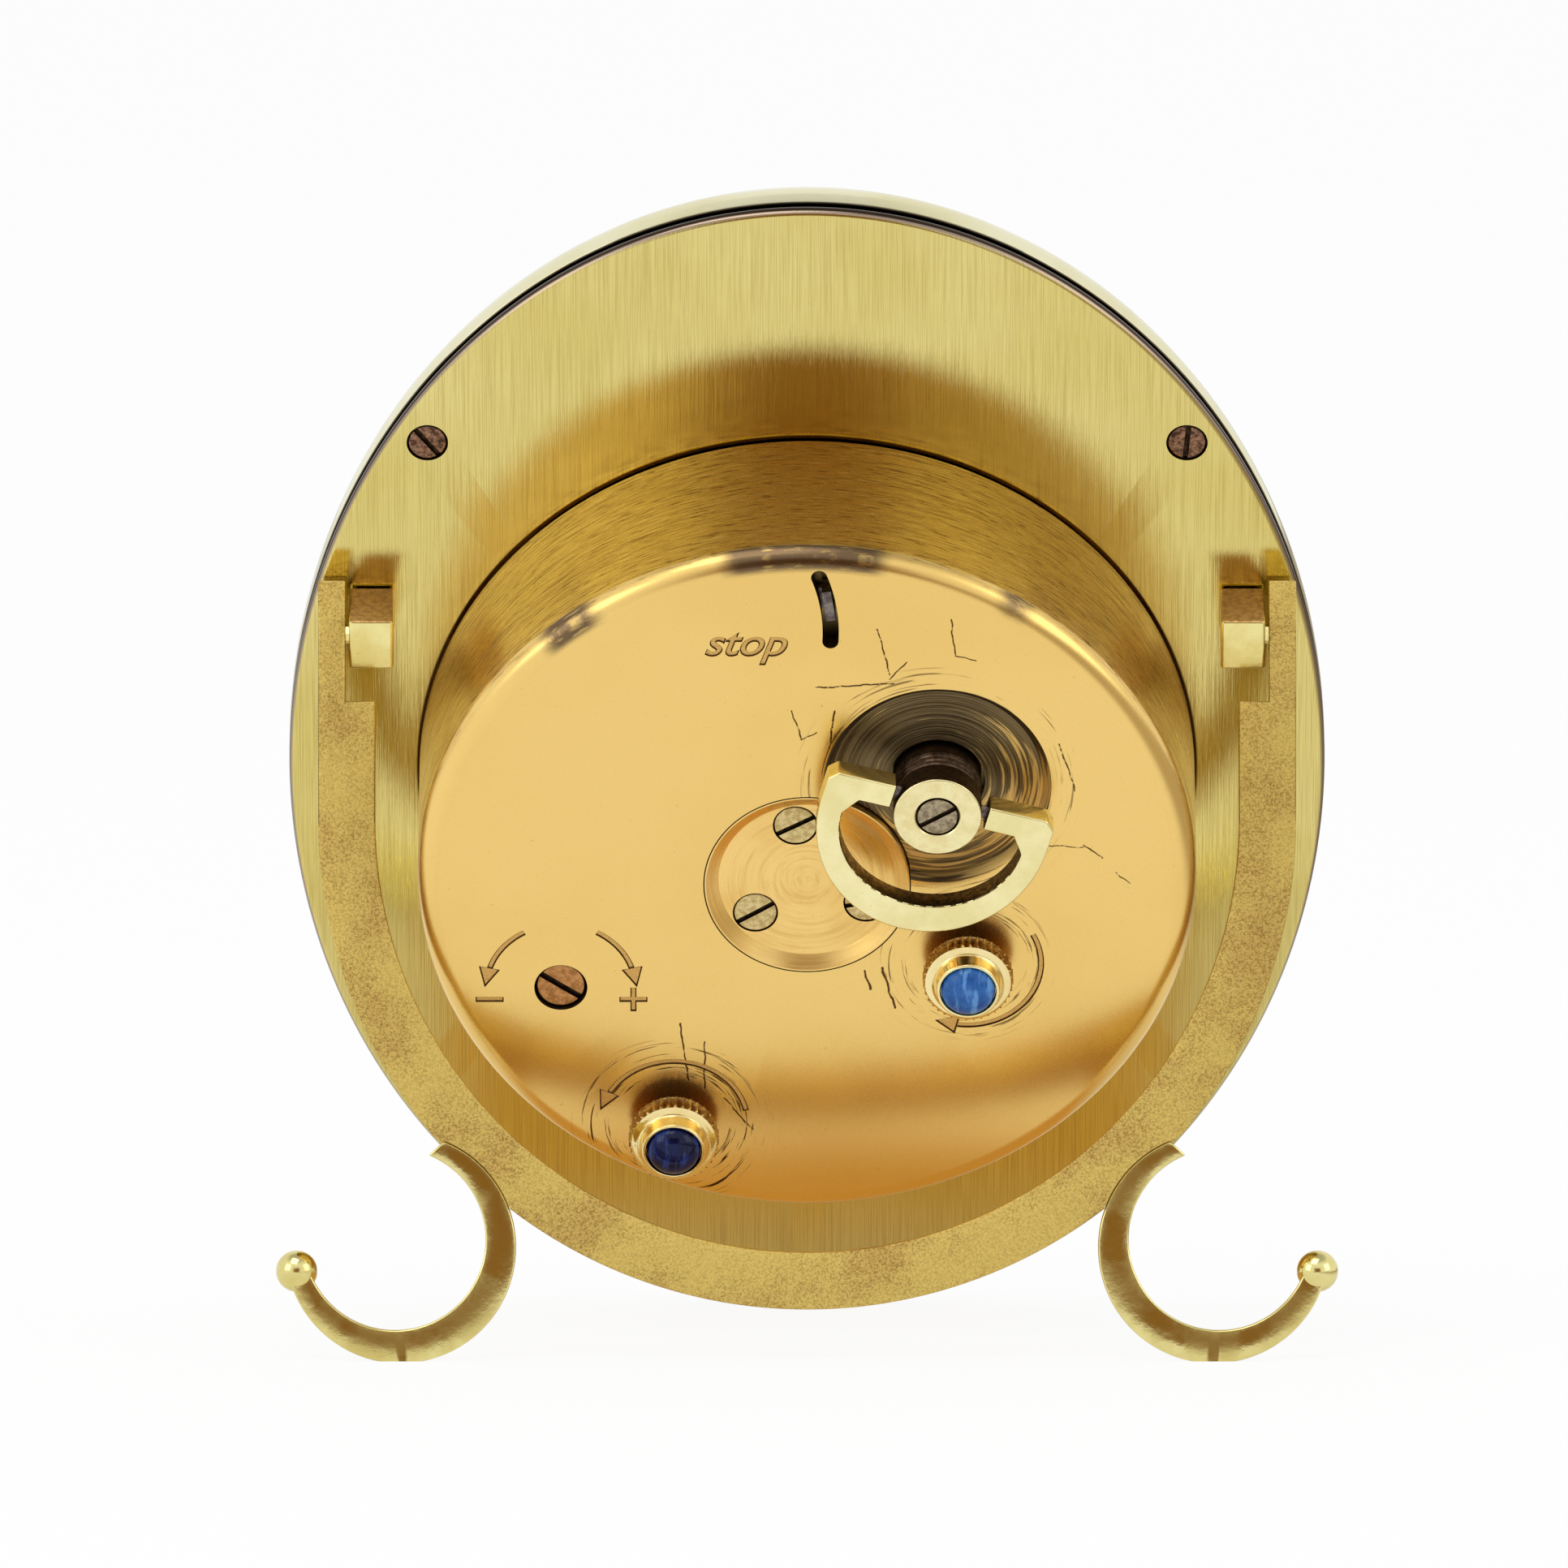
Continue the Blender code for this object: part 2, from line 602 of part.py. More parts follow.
def case_band():
    """Thick oval band, straight behind and rounded over to a lip round the crystal."""
    outer = [oval_ring(0, BAND_BACK)]
    for i in range(BAND_ARC_STEPS + 1):
        angle = math.pi / 2 * i / BAND_ARC_STEPS
        inset = BAND_CURVE_INSET * (1 - math.cos(angle))
        depth = BAND_STRAIGHT + BAND_CURVE_DEPTH * math.sin(angle)
        outer.append(oval_ring(inset, BAND_BACK - depth))
    lip_inset = BAND_WALL + LIP_OVERHANG
    lip_back = BAND_FRONT + LIP_THICKNESS
    inner = [
        oval_ring(lip_inset, BAND_FRONT),
        oval_ring(lip_inset, lip_back),
        oval_ring(BAND_WALL, lip_back),
        oval_ring(BAND_WALL, BAND_BACK),
    ]
    band = loft("case_band", outer + inner, CASE, (0, 0, 0), "polished_brass", True)
    for place in case_screw_places():
        cut(band, case_screw_hole(place))
    return band


def case_screw_places():
    """Four places on the oval that runs down the middle of the band's wall."""
    x = (CASE_HALF_WIDTH - BAND_WALL / 2) * math.cos(CASE_SCREW_ANGLE)
    y = (CASE_HALF_HEIGHT - BAND_WALL / 2) * math.sin(CASE_SCREW_ANGLE)
    return [(-x, y), (x, y), (-x, -y), (x, -y)]


def case_screw_hole(place):
    """Counterbored hole through the plate and into the band."""
    head = CASE_SCREW_HEAD_RADIUS + PIVOT_GAP
    shank = CASE_SCREW_SHANK_RADIUS + PIVOT_GAP
    seat = -CASE_SCREW_HEAD_HEIGHT - PIVOT_GAP
    bottom = seat - CASE_SCREW_SHANK_LENGTH - SEAT_GAP
    profile = [(0, OVERRUN), (head, OVERRUN), (head, seat), (shank, seat), (shank, bottom), (0, bottom)]
    return turned("case_screw_hole", profile, CASE, (*place, 0), None)


def slotted_screw(name, head, height, shank, length, frame, place, finish, turn):
    """Cheese-head screw whose head's top is at the place."""
    profile = [(0, 0), (head, 0), (head, -height), (shank, -height)]
    profile += [(shank, -height - length), (0, -height - length)]
    screw = turned(name, profile, frame, place, finish, FINE_SIDES)
    reach = head + OVERRUN
    low, high = (-reach, -SLOT_WIDTH / 2, -SLOT_DEPTH), (reach, SLOT_WIDTH / 2, OVERRUN)
    cut(screw, block(f"{name}_slot", low, high, frame, place, None, turn))
    return screw


def case_screws():
    for number, (place, turn) in enumerate(zip(case_screw_places(), CASE_SCREW_TURNS), 1):
        slotted_screw(
            f"case_screw_{number}",
            CASE_SCREW_HEAD_RADIUS,
            CASE_SCREW_HEAD_HEIGHT,
            CASE_SCREW_SHANK_RADIUS,
            CASE_SCREW_SHANK_LENGTH,
            CASE,
            (*place, 0),
            "bronze_screw",
            turn,
        )


def crystal_and_dial():
    inset = BAND_WALL + SEAT_GAP
    glass = [oval_ring(inset, CRYSTAL_BACK), oval_ring(inset, CRYSTAL_FRONT)]
    loft("crystal", glass, CASE, (0, 0, 0), "clear_crystal", False)
    rings = [oval_ring(inset, DIAL_BACK), oval_ring(inset, DIAL_FRONT)]
    dial = loft("dial", rings, CASE, (0, 0, 0), "cream_enamel", False)
    hole = ALARM_TUBE_RADIUS + SEAT_GAP
    low, high = DIAL_FRONT - OVERRUN, DIAL_BACK + OVERRUN
    cut(dial, rod("dial_hole", hole, low, high, CASE, (0, 0, 0), None, TUBE_SIDES))


def movement_can():
    """Round can with a rounded back edge, on a spigot that enters the back plate."""
    hole = CAP_RADIUS + HUB_GAP
    profile = [(hole, CAN_DEPTH)]
    for i in range(CAN_EDGE_STEPS + 1):
        angle = math.pi / 2 * (1 - i / CAN_EDGE_STEPS)
        centre = (CAN_RADIUS - CAN_EDGE_RADIUS, CAN_DEPTH - CAN_EDGE_RADIUS)
        profile.append(polar(CAN_EDGE_RADIUS, angle, centre))
    profile += [
        (CAN_RADIUS, SEAT_GAP),
        (SPIGOT_RADIUS, SEAT_GAP),
        (SPIGOT_RADIUS, PLATE_FRONT),
        (CAN_BORE, PLATE_FRONT),
        (CAN_BORE, CAN_INSIDE),
        (hole, CAN_INSIDE),
    ]
    can = turned("movement_can", profile, CASE, (0, 0, 0), "satin_gilt", CAN_SIDES, True)
    cut(can, winding_dish_cutter(), stop_slot_cutter())
    low, high = CAN_INSIDE - OVERRUN, CAN_DEPTH + OVERRUN
    arbor = SETTING_ARBOR_RADIUS + PIVOT_GAP
    for x, y in ((TIME_X, TIME_Y), (ALARM_X, ALARM_Y)):
        cut(can, drill(arbor, (x, y), low=low, high=high, name="arbor_drill"))
    head = REGULATOR_HEAD_RADIUS + REGULATOR_HOLE_GAP
    place = (REGULATOR_X, REGULATOR_Y, 0)
    cut(can, rod("regulator_drill", head, low, high, CASE, place, None, FINE_SIDES))
    return can


def winding_dish_cutter():
    """Shallow dish round the winding arbor, with the hole for the key's stem."""
    high = CAN_DEPTH + OVERRUN
    floor, low = CAN_DEPTH - DISH_DEPTH, CAN_INSIDE - OVERRUN
    stem = KEY_RADIUS + SEAT_GAP
    profile = [
        (0, high),
        (DISH_RADIUS, high),
        (DISH_RADIUS, CAN_DEPTH),
        (DISH_RADIUS - DISH_WALL_SLOPE, floor),
        (stem, floor),
        (stem, low),
        (0, low),
    ]
    place = (WINDING_X, WINDING_Y, 0)
    return turned("winding_dish", profile, CASE, place, None, ROUND_SIDES)


def stop_slot_cutter():
    """Curved slot that the stop lever's tab travels in."""
    half = STOP_SLOT_WIDTH / 2
    steps = 6
    outline = arc(STOP_RADIUS + half, STOP_SLOT_START, STOP_SLOT_END, steps)
    end = polar(STOP_RADIUS, STOP_SLOT_END)
    outline += arc(half, STOP_SLOT_END, STOP_SLOT_END + math.pi, steps, end)[1:-1]
    outline += arc(STOP_RADIUS - half, STOP_SLOT_END, STOP_SLOT_START, steps)
    start = polar(STOP_RADIUS, STOP_SLOT_START)
    outline += arc(half, STOP_SLOT_START + math.pi, STOP_SLOT_START + TAU, steps, start)[1:-1]
    low, high = CAN_INSIDE - OVERRUN, CAN_DEPTH + OVERRUN
    place = (STOP_PIVOT_X, STOP_PIVOT_Y, 0)
    return flat("stop_slot", outline, low, high, CASE, place, None)


def inset_cap():
    """Dished cap in the can's back, with its three screws."""
    floor = CAN_DEPTH - CAP_RECESS
    rim = CAP_RADIUS - CAP_RIM_WIDTH
    low = REAR_PLATE_BACK + SEAT_GAP
    profile = [
        (0, floor),
        (rim - CAP_CHAMFER_WIDTH, floor),
        (rim, CAN_DEPTH),
        (CAP_RADIUS, CAN_DEPTH),
        (CAP_RADIUS, low),
        (0, low),
    ]
    cap = turned("inset_cap", profile, CASE, (0, 0, 0), "satin_gilt", ROUND_SIDES)
    length = floor - CAP_SCREW_HEAD_HEIGHT - REAR_PLATE_FRONT
    for number, (angle, turn) in enumerate(zip(CAP_SCREW_ANGLES, CAP_SCREW_TURNS), 1):
        x, y = polar(CAP_SCREW_CIRCLE, angle)
        cut(cap, cap_screw_hole((x, y)))
        slotted_screw(
            f"cap_screw_{number}",
            CAP_SCREW_HEAD_RADIUS,
            CAP_SCREW_HEAD_HEIGHT,
            CAP_SCREW_SHANK_RADIUS,
            length,
            CASE,
            (x, y, floor),
            "pale_brass",
            turn,
        )


def cap_screw_hole(place):
    floor = CAN_DEPTH - CAP_RECESS
    head, shank = CAP_SCREW_HEAD_RADIUS + HUB_GAP, CAP_SCREW_SHANK_RADIUS + HUB_GAP
    seat = floor - CAP_SCREW_HEAD_HEIGHT - PIVOT_GAP
    high, low = floor + OVERRUN, REAR_PLATE_FRONT - OVERRUN
    profile = [(0, high), (head, high), (head, seat), (shank, seat), (shank, low), (0, low)]
    return turned("cap_screw_hole", profile, CASE, (*place, 0), None, FINE_SIDES)


def winding_key():
    """Ribbed stem with a flat folding bow on two pins, held by a screw."""
    low = REAR_PLATE_BACK + SEAT_GAP
    seat = KEY_TOP - KEY_SCREW_HEIGHT - PIVOT_GAP
    well = KEY_SCREW_RADIUS + PIVOT_GAP
    profile = [(0, seat), (well, seat), (well, KEY_TOP), (KEY_RADIUS, KEY_TOP)]
    start = BOW_TOP - BOW_THICKNESS
    for i in range(KEY_RIBS):
        top = start - i * KEY_RIB_PITCH
        groove = KEY_RADIUS - KEY_RIB_DEPTH
        profile += [(KEY_RADIUS, top), (groove, top - KEY_RIB_PITCH / 2)]
    profile += [(KEY_RADIUS, start - KEY_RIBS * KEY_RIB_PITCH), (KEY_RADIUS, low), (0, low)]
    stem = turned("key_stem", profile, KEY, (0, 0, 0), "dark_steel", FINE_SIDES)
    reach = 2 * KEY_RADIUS
    bore = rod("bow_pin_bore", BOW_PIN_RADIUS + PIVOT_GAP, -reach, reach, BOW, (0, 0, 0), None)
    bore.rotation_euler = (0, math.pi / 2, 0)
    cut(stem, bore)
    top = (0, 0, KEY_TOP)
    height = KEY_SCREW_HEIGHT - PIVOT_GAP
    shank = KEY_SCREW_RADIUS / 2
    radius, turn = KEY_SCREW_RADIUS, KEY_SCREW_TURN
    slotted_screw("key_screw", radius, height, shank, HUB_GAP, KEY, top, "pale_brass", turn)
    key_bow()


def key_bow():
    """Flat D-shaped bow. Its bar is open in the middle, where it straddles the stem."""
    inner_end = KEY_RADIUS + SEAT_GAP
    bar_bottom = BOW_BAR_TOP - BOW_BAR_HEIGHT
    centre_y = bar_bottom - BOW_CORNER
    outer = (BOW_HALF_WIDTH, BOW_LENGTH + centre_y)
    inner_y = centre_y - BOW_CORNER
    inner = (BOW_HALF_WIDTH - BOW_SIDE_WIDTH, BOW_LENGTH - BOW_FOOT_WIDTH + inner_y)
    angles = [math.pi * i / BOW_ARC_STEPS for i in range(BOW_ARC_STEPS + 1)]
    corner = [
        (BOW_HALF_WIDTH - BOW_CORNER, BOW_BAR_TOP),
        (BOW_HALF_WIDTH, BOW_BAR_TOP - BOW_CORNER),
    ]
    outline = [(inner_end, BOW_BAR_TOP), *corner]
    outline += [(outer[0] * math.cos(a), centre_y - outer[1] * math.sin(a)) for a in angles]
    outline += [(-x, y) for x, y in reversed(corner)]
    outline += [(-inner_end, BOW_BAR_TOP), (-inner_end, bar_bottom)]
    hollow = [(inner[0] * math.cos(a), inner_y - inner[1] * math.sin(a)) for a in angles]
    shoulder = inner[0] - BOW_SIDE_WIDTH / 2
    outline += [(-shoulder, bar_bottom), *reversed(hollow), (shoulder, bar_bottom)]
    outline.append((inner_end, bar_bottom))
    outline = [(x, y - BOW_PIVOT_Y) for x, y in outline]
    half = BOW_THICKNESS / 2
    bow = flat("key_bow", outline, -half, half, BOW, (0, 0, 0), "pale_brass")
    reach = BOW_HALF_WIDTH + OVERRUN
    start = inner_end - OVERRUN
    grip_end = inner_end + BOW_PIN_DEPTH + PIVOT_GAP
    low, high = inner_end - SEAT_GAP - BOW_PIN_DEPTH, inner_end + BOW_PIN_DEPTH
    for side, turn in (("left", -math.pi / 2), ("right", math.pi / 2)):
        bore = BOW_PIN_RADIUS + PIVOT_GAP
        hole = rod(f"{side}_pin_bore", bore, start, min(grip_end, reach), BOW, (0, 0, 0), None)
        hole.rotation_euler = (0, turn, 0)
        cut(bow, hole)
        pin = rod(f"bow_pin_{side}", BOW_PIN_RADIUS, low, high, BOW, (0, 0, 0), "dark_steel")
        pin.rotation_euler = (0, turn, 0)


def knurled_ring(radius, height, depth=0.0):
    """A ring whose even points stand depth inside its odd ones."""
    sides = 2 * KNURLS
    radii = [radius - depth * ((i + 1) % 2) for i in range(sides)]
    return [(*polar(r, TAU * i / sides), height) for i, r in enumerate(radii)]


def crown(name, x, y, stone_finish):
    """Knurled crown with a raised collar that holds a domed stone."""
    skirt_top = CROWN_FRONT + CROWN_SKIRT
    seat = CROWN_TOP - STONE_SEAT
    hollow = STONE_RADIUS + HUB_GAP
    collar = hollow + CROWN_COLLAR_WALL
    rings = [
        knurled_ring(hollow, seat),
        knurled_ring(hollow, CROWN_TOP),
        knurled_ring(collar, CROWN_TOP),
        knurled_ring(collar + CROWN_COLLAR_FLARE, skirt_top),
        knurled_ring(CROWN_TOP_RADIUS, skirt_top),
        knurled_ring(CROWN_RADIUS, skirt_top - CROWN_EDGE, KNURL_DEPTH),
        knurled_ring(CROWN_RADIUS, CROWN_FRONT, KNURL_DEPTH),
    ]
    loft(f"{name}_crown", rings, CASE, (x, y, 0), "polished_brass", False)
    low = seat + PIVOT_GAP
    profile = []
    for i in range(STONE_STEPS + 1):
        angle = math.pi / 2 * (1 - i / STONE_STEPS)
        profile.append((STONE_RADIUS * math.cos(angle), low + STONE_HEIGHT * math.sin(angle)))
    profile[0] = (0, low + STONE_HEIGHT)
    profile.append((0, low))
    turned(f"{name}_cabochon", profile, CASE, (x, y, 0), stone_finish, FINE_SIDES)


def spoke_box(name, width, start, end, low, high, frame, place, turn):
    """A bar along its own X axis from start to end, for joining to a piece."""
    half = width / 2
    return block(name, (start, -half, low), (end, half, high), frame, place, None, turn)


def direction(start, end):
    return math.atan2(end[1] - start[1], end[0] - start[0])


def distance(start, end):
    return math.hypot(end[0] - start[0], end[1] - start[1])


def stop_lever():
    """Steel lever on a stud of the rear plate, with a tab that stands in the slot."""
    place = (STOP_PIVOT_X, STOP_PIVOT_Y, 0)
    turn = (STOP_SLOT_START + STOP_SLOT_END) / 2
    ring = STUD_RADIUS + PIVOT_GAP + STOP_ARM_WIDTH / 2
    start = STUD_RADIUS + PIVOT_GAP
    lever = rod("stop_lever", ring, LEVER_FRONT, LEVER_BACK, CASE, place, "dark_steel", FINE_SIDES)
    tab_top = CAN_DEPTH - STOP_TAB_SUNK
    inner, outer = STOP_RADIUS - STOP_TAB_WIDTH / 2, STOP_RADIUS + STOP_TAB_WIDTH / 2
    join(
        lever,
        spoke_box("stop_arm", STOP_ARM_WIDTH, start, outer, LEVER_FRONT, LEVER_BACK, CASE, place, turn),
        spoke_box("stop_tab", STOP_TAB_LENGTH, inner, outer, LEVER_FRONT, tab_top, CASE, place, turn),
    )
    high = LEVER_BACK + OVERRUN
    cut(lever, rod("stop_bore", start, LEVER_FRONT - OVERRUN, high, CASE, place, None))


def regulator():
    """Regulator screw with a collar that stands in the fork of the index."""
    place = (REGULATOR_X, REGULATOR_Y, 0)
    balance = (BALANCE_X, BALANCE_Y, 0)
    head_top = CAN_DEPTH - REGULATOR_SUNK
    head_bottom = head_top - REGULATOR_HEAD_HEIGHT
    length = head_bottom - ARBOR_BACK
    screw = slotted_screw(
        "regulator_screw",
        REGULATOR_HEAD_RADIUS,
        REGULATOR_HEAD_HEIGHT,
        REGULATOR_SHANK_RADIUS,
        length,
        CASE,
        (REGULATOR_X, REGULATOR_Y, head_top),
        "bronze_screw",
        REGULATOR_TURN,
    )
    low, high = LEVER_FRONT - PIVOT_GAP, LEVER_BACK + PIVOT_GAP
    join(screw, rod("collar", REGULATOR_COLLAR_RADIUS, low, high, CASE, place, None))

    tail = direction(balance, place)
    reach = distance(balance, place)
    bore = STUD_RADIUS + PIVOT_GAP
    ring = bore + INDEX_RING_WIDTH
    index = rod("regulator_index", ring, LEVER_FRONT, LEVER_BACK, CASE, balance, "plain_brass", FINE_SIDES)
    gap = 2 * (REGULATOR_COLLAR_RADIUS + SEAT_GAP)
    fork = gap + 2 * INDEX_FORK_WIDTH
    fork_start = reach - REGULATOR_COLLAR_RADIUS - SEAT_GAP - INDEX_FORK_WIDTH
    slot_start = fork_start + INDEX_FORK_WIDTH
    low, high = LEVER_FRONT, LEVER_BACK
    join(
        index,
        spoke_box("index_tail", INDEX_TAIL_WIDTH, bore, slot_start, low, high, CASE, balance, tail),
        spoke_box("index_fork", fork, fork_start, reach, low, high, CASE, balance, tail),
    )
    low, high = LEVER_FRONT - OVERRUN, LEVER_BACK + OVERRUN
    cut(
        index,
        spoke_box("index_slot", gap, slot_start, reach + OVERRUN, low, high, CASE, balance, tail),
        rod("index_bore", bore, low, high, CASE, balance, None),
    )


def hinge_lugs():
    """Two lugs on the plate, each with a pin that carries an arm of the strut."""
    outer = LUG_INNER_X + LUG_WIDTH
    half = LUG_LENGTH / 2
    for side, sign in (("left", -1), ("right", 1)):
        near, far = sorted((sign * LUG_INNER_X, sign * outer))
        low, high = (near, -half, SEAT_GAP), (far, half, LUG_HEIGHT)
        lug = block(f"hinge_lug_{side}", low, high, CASE, (0, PIVOT_Y, 0), "polished_brass")
        turn = (0, sign * math.pi / 2, 0)
        bore = HINGE_PIN_RADIUS + PIVOT_GAP
        hole_end = outer - HINGE_PIN_GRIP - SEAT_GAP
        hole = rod(f"{side}_lug_bore", bore, hole_end, outer + OVERRUN, STRUT, (0, 0, 0), None)
        hole.rotation_euler = turn
        cut(lug, hole)
        start, end = outer - HINGE_PIN_GRIP, STRUT_RADIUS
        pin = rod(f"hinge_pin_{side}", HINGE_PIN_RADIUS, start, end, STRUT, (0, 0, 0), "plain_brass")
        pin.rotation_euler = turn


def strut_ring():
    """Horseshoe that straddles the can: a half ring with two straight arms."""
    head = STRUT_HEAD
    middle = -RING_BELOW_PIVOT
    step = -STRUT_STEP_BELOW_PIVOT
    inner = STRUT_RADIUS - STRUT_WIDTH
    outline = [(STRUT_RADIUS, head)]
    outline += arc(STRUT_RADIUS, 0, -math.pi, STRUT_ARC_STEPS, (0, middle))
    outline += [(-STRUT_RADIUS, head), (-ARM_INNER_X, head), (-ARM_INNER_X, step), (-inner, step)]
    outline += arc(inner, -math.pi, 0, STRUT_ARC_STEPS, (0, middle))
    outline += [(inner, step), (ARM_INNER_X, step), (ARM_INNER_X, head)]
    half = STRUT_THICKNESS / 2
    ring = flat("strut_ring", outline, -half, half, STRUT, (0, 0, 0), "cast_gilt")
    for side, sign in (("left", -1), ("right", 1)):
        bore = HINGE_PIN_RADIUS + HUB_GAP
        low, high = ARM_INNER_X - OVERRUN, STRUT_RADIUS + OVERRUN
        hole = rod(f"{side}_arm_bore", bore, low, high, STRUT, (0, 0, 0), None)
        hole.rotation_euler = (0, sign * math.pi / 2, 0)
        cut(ring, hole, foot_notch(side, sign))


def foot_place(sign):
    return (sign * FOOT_X, -RING_BELOW_PIVOT - FOOT_BELOW_RING)


def foot_notch(side, sign):
    """Round notch in the ring's edge that a foot is let into."""
    x, y = foot_place(sign)
    centre = polar(FOOT_OFFSET, FOOT_OFFSET_ANGLE)
    radius = FOOT_OUTER_RADIUS + SEAT_GAP
    reach = STRUT_THICKNESS
    place = (x + sign * centre[0], y + centre[1], 0)
    return rod(f"{side}_notch", radius, -reach, reach, STRUT, place, None, ROUND_SIDES)


def foot(side, sign):
    """Crescent scroll that opens outwards, with a ball on its free end."""
    centre = polar(FOOT_OFFSET, FOOT_OFFSET_ANGLE)
    outline = arc(FOOT_OUTER_RADIUS, FOOT_START, FOOT_END, FOOT_STEPS, centre)
    outline += arc(FOOT_INNER_RADIUS, FOOT_END, FOOT_START, FOOT_STEPS)
    outline = [(sign * x, y) for x, y in outline]
    half = FOOT_THICKNESS / 2
    x, y = foot_place(sign)
    scroll = flat(f"foot_{side}", outline, -half, half, STRUT, (x, y, 0), "polished_brass")
    tip_radius = (FOOT_INNER_RADIUS + FOOT_OUTER_RADIUS) / 2
    tip = polar(tip_radius, FOOT_END)
    bm = bmesh.new()
    bmesh.ops.create_uvsphere(bm, u_segments=12, v_segments=8, radius=FOOT_BALL_RADIUS)
    place = (x + sign * tip[0], y + tip[1], 0)
    ball = place_object(f"{side}_ball", mesh_of("ball", bm), STRUT, place, None)
    join(scroll, ball)
    cut(scroll, floor_cutter())


def floor_cutter():
    """Everything below the floor, in the frame of the finished clock."""
    reach = 4 * CASE_HALF_HEIGHT
    low, high = (-reach, -reach, -reach), (reach, reach, 0)
    return block("floor_cutter", low, high, None, (0, 0, 0), None)


def gear_outline(teeth, radius, phase):
    """Pointed teeth on a wheel and flat-topped ones on a pinion, one at the angle phase."""
    module = 2 * radius / teeth
    root, tip = radius - DEDENDUM_SHARE * module, radius + ADDENDUM_SHARE * module
    tips = [(0, tip)]
    if teeth <= MOST_LEAVES:
        tips = [(-TOOTH_TIP_SHARE, tip), (TOOTH_TIP_SHARE, tip)]
    corners = [(-TOOTH_ROOT_SHARE, root), *tips, (TOOTH_ROOT_SHARE, root)]
    pitch = TAU / teeth
    return [polar(r, phase + (i + share) * pitch) for i in range(teeth) for share, r in corners]


def saw_outline(teeth, radius, depth):
    """Teeth with a narrow flat tip, steep on one side."""
    pitch = TAU / teeth
    radii = (radius, radius, radius - depth)
    corners = list(zip(SAW_SHARES, radii))
    return [polar(r, (i + share) * pitch) for i in range(teeth) for share, r in corners]


def mesh_phase(phase, teeth, towards, mate_teeth):
    """Where a mating gear in that direction has a tooth, so that the two are in mesh."""
    share = ((towards - phase) * teeth / TAU) % 1
    return towards + math.pi + (share + 1 / 2) * TAU / mate_teeth


def gear(name, teeth, radius, phase, low, high, place, finish=None):
    outline = gear_outline(teeth, radius, phase)
    return flat(name, outline, low, high, CASE, (*place, 0), finish)


def train_place(name):
    return {
        "barrel": (WINDING_X, WINDING_Y),
        "centre": (0, 0),
        "third": (THIRD_X, THIRD_Y),
        "fourth": (FOURTH_X, FOURTH_Y),
        "escape": (ESCAPE_X, ESCAPE_Y),
        "balance": (BALANCE_X, BALANCE_Y),
        "time": (TIME_X, TIME_Y),
        "alarm": (ALARM_X, ALARM_Y),
        "strike": (STRIKE_X, STRIKE_Y),
        "hammer": (HAMMER_X, HAMMER_Y),
    }[name]


def pair_radii(first, second, first_teeth, second_teeth):
    """Pitch radii of two gears that mesh on these centres."""
    module = distance(first, second) / (first_teeth + second_teeth)
    return module * first_teeth, module * second_teeth


def barrel():
    """Toothed spring barrel, its arbor and the spring wound between them."""
    place, centre = train_place("barrel"), train_place("centre")
    radius, _ = pair_radii(place, centre, BARREL_TEETH, CENTRE_PINION_LEAVES)
    phase = direction(place, centre)
    low, high = BARREL_GEAR_FRONT, BARREL_GEAR_BACK
    body = gear("spring_barrel", BARREL_TEETH, radius, phase, low, high, place, "plain_brass")
    wall_outer = radius - DEDENDUM_SHARE * 2 * radius / BARREL_TEETH - BARREL_ROOT_MARGIN
    wall_inner = wall_outer - BARREL_WALL
    low, high = BARREL_GEAR_BACK - OVERLAP, BARREL_TOP
    profile = [(wall_inner, high), (wall_outer, high), (wall_outer, low), (wall_inner, low)]
    join(body, turned("barrel_wall", profile, CASE, (*place, 0), None, BARREL_SIDES, True))
    bore = BARREL_ARBOR_RADIUS + PIVOT_GAP
    cut(body, drill(bore, place, low=0, high=BARREL_TOP, name="barrel_bore"))

    hub_low, hub_high = BARREL_GEAR_BACK + SEAT_GAP, BARREL_TOP - SEAT_GAP
    profile = [
        (0, REAR_PLATE_BACK),
        (BARREL_ARBOR_RADIUS, REAR_PLATE_BACK),
        (BARREL_ARBOR_RADIUS, hub_high),
        (BARREL_HUB_RADIUS, hub_high),
        (BARREL_HUB_RADIUS, hub_low),
        (BARREL_ARBOR_RADIUS, hub_low),
        (BARREL_ARBOR_RADIUS, ARBOR_FRONT),
        (0, ARBOR_FRONT),
    ]
    turned("barrel_arbor", profile, KEY, (0, 0, 0), "dark_steel", FINE_SIDES)
    outline = spiral_outline(
        BARREL_HUB_RADIUS + SEAT_GAP, wall_inner - SEAT_GAP, MAINSPRING_THICKNESS, MAINSPRING_TURNS
    )
    flat("mainspring", outline, hub_low, hub_high, CASE, (*place, 0), "dark_steel")


def spiral_outline(inner, outer, thickness, turns):
    """A strip that winds out from radius inner to radius outer."""
    steps = turns * SPIRAL_STEPS_PER_TURN
    growth = outer - inner - thickness
    places = [(inner + growth * i / steps, TAU * i / SPIRAL_STEPS_PER_TURN) for i in range(steps + 1)]
    near = [polar(radius, angle) for radius, angle in places]
    far = [polar(radius + thickness, angle) for radius, angle in places]
    return near + far[::-1]


def train_wheel(name, place, wheel, pinion, front, back, arbor_radius=ARBOR_RADIUS):
    """Arbor with a pinion and a wheel, each given as teeth, radius, phase, low and high."""
    piece = rod(name, arbor_radius, front, back, CASE, (*place, 0), "plain_brass")
    for part, values in (("wheel", wheel), ("pinion", pinion)):
        if values:
            teeth, radius, phase, low, high = values
            join(piece, gear(f"{name}_{part}", teeth, radius, phase, low, high, place))
    return piece


